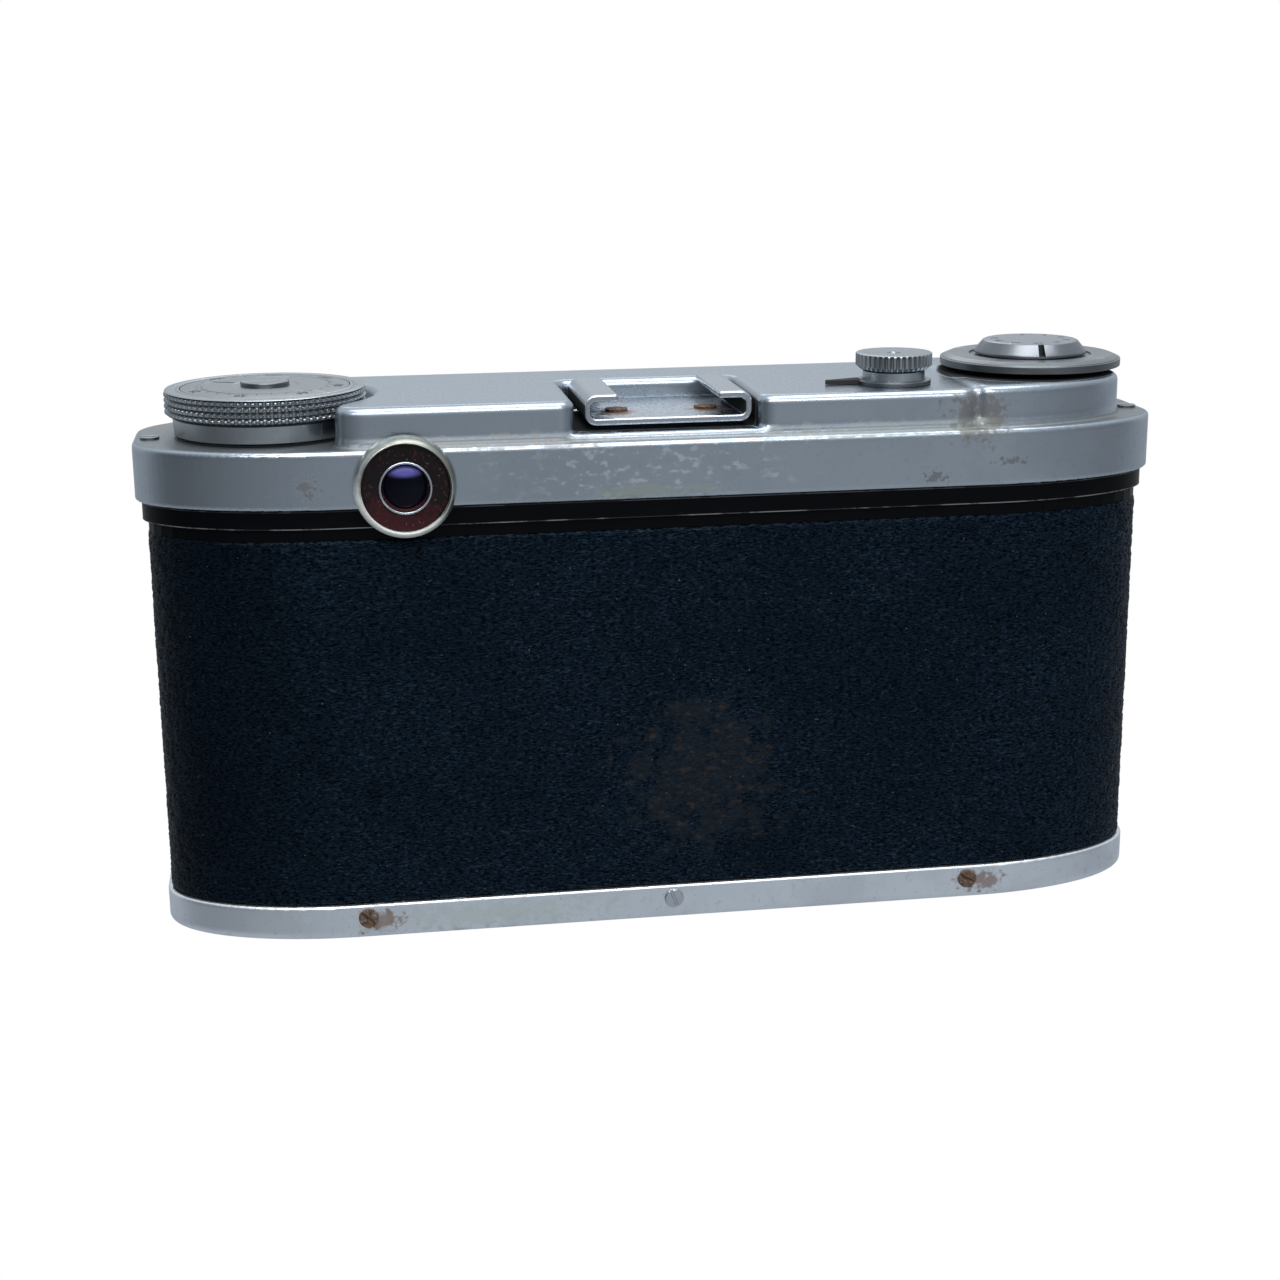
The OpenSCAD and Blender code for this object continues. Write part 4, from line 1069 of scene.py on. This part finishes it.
along = np.linspace(0, 1, COIL_STEPS + 1)[:, None]
turn = 14 * np.pi * along
spoke = np.linspace(0, 2 * np.pi, COIL_SIDES + 1)[:-1]
reach = 1.6 + 0.2 * np.cos(spoke)
heights = spring_low[2] + 0.2 + along * (spring_high[2] - spring_low[2] - 0.4) + 0.2 * np.sin(spoke)
coil = np.stack([RELEASE[0] + reach * np.cos(turn), RELEASE[1] + reach * np.sin(turn), heights], -1)
coil_faces = []
for k in range(COIL_STEPS):
    for j in range(COIL_SIDES):
        a, b = COIL_SIDES * k + j, COIL_SIDES * k + (j + 1) % COIL_SIDES
        coil_faces.append((a, b, b + COIL_SIDES, a + COIL_SIDES))
coil_faces.append(range(COIL_SIDES)[::-1])
coil_faces.append(range(COIL_SIDES * COIL_STEPS, COIL_SIDES * (COIL_STEPS + 1)))
coil = piece(
    "release_coil", coil.reshape(-1, 3), coil_faces, spring_steel, "camera_body", replaces=["release_spring"],
    sharp=None,
)
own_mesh(coil)
lever_low, lever_high = node_box("rewind_lever")
lathe(
    "lever_ring",
    rounded([(3.97, lever_low[2], 0), (4.7, lever_low[2], 0.05), (4.7, lever_high[2], 0.12),
             (3.97, lever_high[2], 0.05)]),
    knob_steel, "rewind_lever", at_release, segments=96, replaces=["rewind_lever"],
)
pointer = [(4.2, -1.9), (8.7, -0.4), (8.8, -0.1), (8.7, 0.2), (4.2, 0.62)]
pointer = [(x, y, z) for z in (lever_low[2] + 0.02, lever_high[2] + 0.02) for x, y in pointer]
piece("lever_pointer", moved(np.array(pointer), at_release),
      [(4, 3, 2, 1, 0), (5, 6, 7, 8, 9)] + [(k, (k + 1) % 5, 5 + (k + 1) % 5, 5 + k) for k in range(5)],
      matt_black, "rewind_lever")

# ---- black strip and back shell lip, with painted highlights along their edges -----------------


def rear_band(name, inset, bottom, top, material, body, push=0.05):
    """A thin smooth band along the rear of the camera's outline."""
    line, _, out = walk(half_outline(True, inset, SEAM_Y), 0.6)
    verts = [
        (*(point + side * depth), z)
        for z in (bottom, top)
        for point, side in zip(line, out)
        for depth in (-0.3, push)
    ]
    count = len(line)
    faces = []
    for k in range(count - 1):
        a, b = 2 * k, 2 * (k + count)
        faces += [(a + 1, a + 3, b + 3, b + 1), (b, b + 1, b + 3, b + 2)]
        faces += [(a, a + 2, a + 3, a + 1), (a, b, b + 2, a + 2)]
    for a in (0, 2 * (count - 1)):
        faces.append((a, a + 1, a + 1 + 2 * count, a + 2 * count))
    return piece(name, verts, faces, material, body)


def worn_edge(name, colour):
    """A painted highlight along an edge: a light metallic line, broken by near black in places."""
    look = Look(name, colour, 0.35, 0.6)
    look.mottle((2.5, 5, 0, (2, 1, 1)), 0.42, 0.56, (0.002, 0.002, 0.003), 0.4, 0.0)
    return look.material


LIP_INSET = LEATHER_INSET + 0.7
# The light lines along the strip's and the lip's edges are painted highlights; the faces between them are plain
# black.
BANDS = (
    ("strip_edge", STRIP_INSET, 52.8, 52.92, (0.22, 0.22, 0.22), "camera_body"),
    ("strip_face", STRIP_INSET, 52.9, 54.95, None, "camera_body"),
    ("strip_top_edge", STRIP_INSET, 54.9, 55.02, (0.1, 0.11, 0.13), "camera_body"),
    ("lip_face", LIP_INSET, 50.3, 51.36, None, "back"),
    ("lip_edge", LIP_INSET, 51.32, 51.46, (0.32, 0.32, 0.31), "back"),
)
for name, inset, bottom, top, highlight_colour, body in BANDS:
    if highlight_colour:
        rear_band(name, inset, bottom, top, worn_edge(name, highlight_colour), body, 0.07)
    else:
        rear_band(name, inset, bottom, top, case_black, body)

# ---- base screws -----------------------------------------------------------------------------

REAR_OF_BASE = HALF_Y - PLATE_INSET
for number, (screw_x, angle) in enumerate(zip(BASE_SCREWS, (30, 70, 40))):
    place = Matrix.Translation((screw_x, REAR_OF_BASE, BASE_SCREW_Z)) @ REARWARD
    options = {"replaces": ["base_screws"]} if number == 1 else {}
    look = bright_chrome if screw_x == 0 else rusty_steel
    slotted(
        f"base_screw_{number + 1}", 1.22, -1.5, 0.32, 0.34, 0.22, math.radians(-angle), look, "back", place,
        0.16, **options,
    )

# ---- lens ------------------------------------------------------------------------------------

LENS = Matrix.Translation((0, 0, LENS_Z)) @ Matrix.Rotation(math.radians(90), 4, "X")
mount_front = 17.3
guide_front = -node_box("lens_mount_ring")[0][1]
mount_back = -node_box("lens_mount_ring")[1][1]
lathe(
    "mount_flange",
    rounded([(15.2, mount_back, 0), (MOUNT_R, mount_back, 0.1), (MOUNT_R, mount_front - 0.9, 0.3),
             (MOUNT_R - 0.7, mount_front, 0.3), (16, mount_front, 0.1), (16, guide_front, 0.2),
             (15.2, guide_front, 0)]),
    bright_chrome, "camera_body", LENS, segments=192, replaces=["lens_mount_ring"],
)
FOCUS_R = MOUNT_R - 1.1
focus_back, focus_front = mount_front + 0.1, guide_front - 0.1
lathe(
    "focus_ring",
    [(16.1, focus_back), (FOCUS_R - 0.4, focus_back), (FOCUS_R - 0.2, focus_back + 0.2)]
    + side_rows(FOCUS_R, focus_back + 0.4, focus_front - 2.3, 6)
    + rounded([(FOCUS_R - 0.35, focus_front - 2.15, 0.1), (FOCUS_R - 0.3, focus_front - 0.6, 0.1),
               (FOCUS_R - 0.9, focus_front, 0.2)]).tolist()
    + [(16.1, focus_front)],
    bright_chrome, "focusing_ring", LENS, segments=720,
    warp=flutes(120, focus_back + 0.3, focus_front - 2.2, 0.3, FOCUS_R), replaces=["focusing_ring"],
)


def bar(name, low, high, turn, bevel, material, body, place=LENS, **options):
    """A bevelled block in local millimetres, turned about the local Z axis."""
    work = bmesh.new()
    bmesh.ops.create_cube(work, size=1)
    low, high = np.array(low, float), np.array(high, float)
    for vert in work.verts:
        vert.co = Vector((low + high) / 2 + np.array(vert.co) * (high - low))
    everything = work.edges[:] + work.verts[:]
    bmesh.ops.bevel(work, geom=everything, offset=bevel, segments=3, affect="EDGES", profile=0.5)
    mesh = bpy.data.meshes.new(name)
    work.to_mesh(mesh)
    work.free()
    mesh.transform(Matrix.Scale(MM, 4) @ place @ Matrix.Rotation(math.radians(turn), 4, "Z"))
    return piece_of_mesh(name, mesh, material, body, **options)


bar(
    "focus_lug", (FOCUS_R - 0.6, -2.2, focus_back + 1.1), (FOCUS_R + 2.6, 2.2, focus_front - 1.1), -150, 0.5,
    bright_chrome, "focusing_ring",
)
CASE_R = 19.5
case_back, case_front = 22.9, 27.0
lathe(
    "shutter_case",
    rounded([(6.2, 12, 0.1), (15.1, 12, 0.3), (15.1, case_back, 0), (CASE_R - 0.3, case_back, 0.2),
             (CASE_R, case_back + 0.5, 0.2), (CASE_R, case_front - 0.4, 0.25), (CASE_R - 0.5, case_front, 0.2),
             (17.6, case_front, 0.05), (17.6, case_back + 0.9, 0), (6.2, case_back + 0.9, 0)]),
    black_alloy, "shutter_unit", LENS, segments=192, replaces=["shutter_housing"],
)
HUB_R = 15.5
hub_front = 33.2
lathe(
    "shutter_face",
    rounded([(6.2, case_front - 0.6, 0), (17.5, case_front - 0.6, 0), (17.5, case_front, 0.1),
             (HUB_R, case_front, 0), (HUB_R, hub_front, 0.15), (12.5, hub_front, 0),
             (12.5, case_front + 0.6, 0), (6.2, case_front + 0.6, 0)]),
    black_alloy, "shutter_unit", LENS, segments=192, replaces=["shutter_cover"],
)
SPEED_R = 19.8
lathe(
    "speed_dial",
    [(HUB_R + 0.1, case_front + 1), (SPEED_R - 0.3, case_front + 1)]
    + side_rows(SPEED_R, case_front + 1.25, case_front + 2.3, 5)
    + rounded([(SPEED_R - 0.3, case_front + 2.45, 0.1), (SPEED_R - 1.1, case_front + 3.5, 0.2)]).tolist()
    + [(HUB_R + 2.2, case_front + 3.6), (HUB_R + 0.1, case_front + 3.6)],
    bright_chrome, "speed_ring", LENS, segments=720,
    warp=flutes(120, case_front + 1.2, case_front + 2.4, 0.28, SPEED_R), replaces=["speed_ring"],
)
STOP_R = HUB_R + 2.3
lathe(
    "aperture_dial",
    rounded([(HUB_R + 0.1, case_front + 3.8, 0), (STOP_R, case_front + 3.8, 0.1),
             (STOP_R, case_front + 5.2, 0.2),
             (STOP_R - 1, case_front + 6, 0.2), (HUB_R + 0.1, case_front + 6, 0)]),
    black_alloy, "aperture_ring", LENS, segments=160, replaces=["aperture_ring"],
)
bar(
    "aperture_tab", (STOP_R - 0.5, -1, case_front + 4.2), (STOP_R + 2.3, 1, case_front + 5.4), 120, 0.3,
    black_alloy, "aperture_ring",
)
CELL_R = half_size("front_cell")
cell_front = -node_box("front_cell")[0][1]
lathe(
    "lens_cell",
    [(7.0, 29.1), (12.4, 29.1), (12.4, hub_front + 0.1), (CELL_R - 0.2, hub_front + 0.1)]
    + side_rows(CELL_R, hub_front + 0.3, hub_front + 1.5, 5)
    + rounded([(CELL_R - 0.25, hub_front + 1.65, 0.1), (CELL_R - 0.2, cell_front - 0.3, 0.1),
               (CELL_R - 0.5, cell_front, 0.15), (CELL_R - 1.1, cell_front, 0.15),
               (CELL_R - 1.5, cell_front - 0.6, 0.1), (8.7, cell_front - 1.7, 0.15),
               (8.35, cell_front - 1.9, 0.1)]).tolist()
    + [(8.35, 31.1), (7.0, 31.1)],
    black_alloy, "shutter_unit", LENS, segments=600,
    warp=flutes(100, hub_front + 0.2, hub_front + 1.6, 0.25, CELL_R),
    replaces=["front_cell"],
)
bulge = [(8.3 * t, cell_front - 1.3 - 20 + math.sqrt(400 - (8.3 * t) ** 2)) for t in np.linspace(1, 0, 20)]
lathe(
    "front_glass", [(0, 31.2), (8.3, 31.2)] + bulge, coated_glass, "shutter_unit", LENS, segments=96,
    replaces=["front_element"],
)

# ---- generic numbers and marks on the dials --------------------------------------------------


def text_points(text, size):
    """A flat outline of some digits, as points and faces, with its middle at the origin."""
    curve = bpy.data.curves.new("digits", "FONT")
    curve.body = text
    curve.size = size
    curve.align_x = "CENTER"
    curve.align_y = "CENTER"
    curve.resolution_u = 3
    obj = bpy.data.objects.new("digits", curve)
    bpy.context.scene.collection.objects.link(obj)
    bpy.context.view_layer.update()
    mesh = bpy.data.meshes.new_from_object(obj.evaluated_get(bpy.context.evaluated_depsgraph_get()))
    verts = np.array([v.co for v in mesh.vertices])
    faces = [tuple(f.vertices) for f in mesh.polygons]
    bpy.data.objects.remove(obj)
    bpy.data.curves.remove(curve)
    bpy.data.meshes.remove(mesh)
    return verts, faces


def scale_marks(name, place, material, body, labels=(), ticks=(), lift=0.02):
    """Digits and ticks on a cone or disc round the local Z axis, as one thin mesh.

    labels: (text, angle, r, z, size, tilt); ticks: (angle, r0, z0, r1, z1, width). In degrees and millimetres.
    """
    verts, faces = [], []

    def add(points, new_faces):
        base = len(verts)
        verts.extend(points)
        faces.extend(tuple(base + k for k in f) for f in new_faces)

    for text, angle, r, z, size, tilt in labels:
        points, new_faces = text_points(text, size)
        if not len(points):
            continue
        turn = Matrix.Rotation(math.radians(angle - 90), 4, "Z") @ Matrix.Translation((0, r, z))
        turn = turn @ Matrix.Rotation(math.radians(-tilt), 4, "X") @ Matrix.Translation((0, 0, lift))
        add([tuple(p) for p in moved(points, turn)], new_faces)
    for angle, r0, z0, r1, z1, width in ticks:
        turn = Matrix.Rotation(math.radians(angle), 4, "Z")
        slope = math.atan2(z1 - z0, r1 - r0)
        dr, dz = -math.sin(slope) * lift, math.cos(slope) * lift
        near, far, half = (r0 + dr, z0 + dz), (r1 + dr, z1 + dz), width / 2
        corners = ((near, -half), (far, -half), (far, half), (near, half))
        corners = [(r, across, z) for (r, z), across in corners]
        add([tuple(p) for p in moved(np.array(corners), turn)], [(0, 1, 2, 3)])
    return piece(name, moved(np.array(verts), place), faces, material, body)


film_labels = [(text, 24 + 48 * k, 9.15, dial_top - 0.11, 1.5, 4) for k, text in
               enumerate(("25", "50", "64", "100", "160", "200", "400"))]
film_ticks = [(k * 12, 8.2, dial_top - 0.05, 8.6, dial_top - 0.07, 0.12) for k in range(30)]
film_ticks += [(-30, 4.4, dial_top, 7.5, dial_top - 0.03, 0.3)]
scale_marks("film_marks", at_rewind, ink, "reminder_dial", film_labels, film_ticks)
film_window = [(-98, 4.5, dial_top, 7.4, dial_top - 0.03, 4.4)]
scale_marks("film_window", at_rewind, counter_steel, "reminder_dial", ticks=film_window)
counter_labels = [(str(k), -96 - 9 * k, 4.6, counter_top, 1.2, 0) for k in range(0, 36, 4)]
counter_ticks = [(-96 - 9 * k, 5.75, counter_top, 5.5 if k % 2 else 5.3, counter_top, 0.12) for k in range(37)]
scale_marks("counter_marks", at_advance, ink, "counter_dial", counter_labels, counter_ticks)

LENS_SCALES = (
    ("speed_marks", ink, "speed_ring", "B 1 2 5 10 25 50 100 300", 90, -24,
     SPEED_R - 0.72, case_front + 2.98, 1.35, 52),
    ("aperture_marks", white_ink, "aperture_ring", "3.5 4 5.6 8 11 16", 60, -16,
     STOP_R - 0.5, case_front + 5.6, 1.15, 39),
    ("distance_marks", ink, "focusing_ring", "1 1.2 1.5 2 3 5 10 20", 90, 19,
     FOCUS_R - 0.3, focus_front - 1.35, 1.5, 86),
)
for name, material, body, texts, first, step, r, z, size, tilt in LENS_SCALES:
    labels = [(text, first + step * k, r, z, size, tilt) for k, text in enumerate(texts.split())]
    scale_marks(name, LENS, material, body, labels)


# ---- plain pieces ----------------------------------------------------------------------------

PLAIN_PIECES = (
    (case_black, "body_casting back_shell pressure_plate"),
    (knob_steel, "top_cover_screws"),
    (rusty_steel, "shoe_screws"),
    (clear_glass, "viewfinder_window"),
    (amber_glass, "rangefinder_window"),
    (blue_glass, "rear_element"),
    (mirror_glass, "beam_splitter rangefinder_mirror"),
    (matt_black, "finder_housing"),
    (black_alloy, "take_up_spool"),
    (steel, "lock_catches advance_shaft sprocket_shaft rewind_shaft"),
    (brass, "mirror_arm idler_gear rewind_sleeve"),
    (spring_steel, "pressure_spring"),
    (bright_chrome, "flash_socket cocking_lever shutter_release_lever tripod_socket"),
    (bright_chrome, "lock_key_left lock_key_right"),
    (blade_steel, "shutter_blade_1 shutter_blade_2 shutter_blade_3"),
    (blade_steel, "iris_blade_1 iris_blade_2 iris_blade_3 iris_blade_4 iris_blade_5"),
)
for material, nodes in PLAIN_PIECES:
    for node in nodes.split():
        set_look(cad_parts[node].data, material, 28)

# ---- light and camera ------------------------------------------------------------------------

scene = bpy.context.scene
scene.view_settings.view_transform = "Standard"
scene.view_settings.look = "None"

world = bpy.data.worlds.new("studio")
scene.world = world
world.use_nodes = True
sky = Nodes(world.node_tree)
sky.tree.nodes.clear()

# Brightness of the studio at each level of a direction, from -1 at one end to 1 at the other.
FRONT_SKY = ((-1.0, 0.45), (-0.2, 0.45), (0.0, 0.55), (0.2, 0.74), (0.5, 0.66), (1.0, 0.9))
REAR_SKY = ((-1.0, 0.5), (-0.5, 0.46), (-0.2, 0.39), (0.0, 0.26), (0.25, 0.2), (0.6, 0.45), (1.0, 0.9))
SIDE_LIGHT = ((-1.0, 0.8), (-0.6, 1.15), (-0.3, 1.35), (-0.05, 1.1), (0.25, 0.92), (0.6, 0.4), (1.0, 0.35))


def sky_ramp(socket, stops, scale=1):
    """A slightly blue brightness at each level of a direction."""
    node = sky.node("ShaderNodeValToRGB")
    elements = node.color_ramp.elements
    for number, (level, value) in enumerate(stops):
        stop = elements[number] if number < 2 else elements.new(0.5)
        stop.position = (level + 1) / 2
        stop.color = (value * scale * 0.93, value * scale, value * scale * 1.07, 1)
    sky.link(sky.math("MULTIPLY_ADD", socket, 0.5, 0.5), node.inputs["Fac"])
    return node.outputs["Color"]


x, y, z = sky.split(sky.node("ShaderNodeTexCoord").outputs["Generated"])
toward_rear = sky.ramp(y, -0.35, 0.35)
front, rear, blend = sky.mix(toward_rear, "RGBA")
sky.link(sky_ramp(z, FRONT_SKY), front)
sky.link(sky_ramp(z, REAR_SKY), rear)
sideways = sky.node("ShaderNodeRGBToBW")
sky.link(sky_ramp(x, SIDE_LIGHT, 0.5), sideways.inputs[0])
level_view = sky.math("SUBTRACT", 1.0, sky.ramp(sky.math("ABSOLUTE", z), 0.25, 0.75))
change = sky.math("SUBTRACT", sky.math("MULTIPLY", sideways.outputs[0], 2.0), 1.0)
strength = sky.math("ADD", sky.both(sky.both(level_view, toward_rear), change), 1.0)
around = sky.node("ShaderNodeBackground")
sky.link(blend, around.inputs["Color"])
sky.link(strength, around.inputs["Strength"])
seen = sky.node("ShaderNodeBackground")
seen.inputs["Color"].default_value = (1, 1, 1, 1)
switch = sky.node("ShaderNodeMixShader")
sky.link(sky.node("ShaderNodeLightPath").outputs["Is Camera Ray"], switch.inputs[0])
sky.link(around.outputs[0], switch.inputs[1])
sky.link(seen.outputs[0], switch.inputs[2])
sky.link(switch.outputs[0], sky.node("ShaderNodeOutputWorld").inputs[0])


def softbox(name, position, target, size, power, tint=(1, 1, 1)):
    """A rectangular lamp, placed and aimed in millimetres."""
    lamp = bpy.data.lights.new(name, "AREA")
    lamp.shape = "RECTANGLE"
    lamp.size, lamp.size_y = size[0] * MM, size[1] * MM
    lamp.energy = power
    lamp.color = tint
    obj = bpy.data.objects.new(name, lamp)
    bpy.context.scene.collection.objects.link(obj)
    obj.location = Vector(position) * MM
    obj.rotation_euler = (Vector(target) * MM - obj.location).to_track_quat("-Z", "Y").to_euler()
    obj.visible_camera = False
    return obj


softbox("overhead", (-40, 90, 520), (0, 0, 50), (460, 260), 1.5, (0.97, 0.985, 1))
softbox("rear_key", (60, 560, 430), (0, 0, 40), (620, 130), 2.0, (0.97, 0.985, 1))
softbox("front_fill", (-20, -480, 420), (0, 0, 30), (320, 260), 0.25)

YAW, PITCH, ROLL = (math.radians(a) for a in (8.84, 14.87, -0.49))
TARGET = Vector((1.71, 0, 33.05))
DISTANCE = 282.4
back = Vector((math.sin(YAW) * math.cos(PITCH), math.cos(YAW) * math.cos(PITCH), math.sin(PITCH)))
right = (-back).cross(Vector((0, 0, 1))).normalized()
up = right.cross(-back)
right, up = (math.cos(ROLL) * right + math.sin(ROLL) * up, math.cos(ROLL) * up - math.sin(ROLL) * right)
camera = bpy.data.cameras.new("camera")
camera.sensor_width = 36
camera.lens = 60.27
camera.clip_start = 0.01
camera_object = bpy.data.objects.new("camera", camera)
scene.collection.objects.link(camera_object)
turn = Matrix((right, up, back)).transposed().to_4x4()
camera_object.matrix_world = Matrix.Translation((TARGET + back * DISTANCE) * MM) @ turn
scene.camera = camera_object
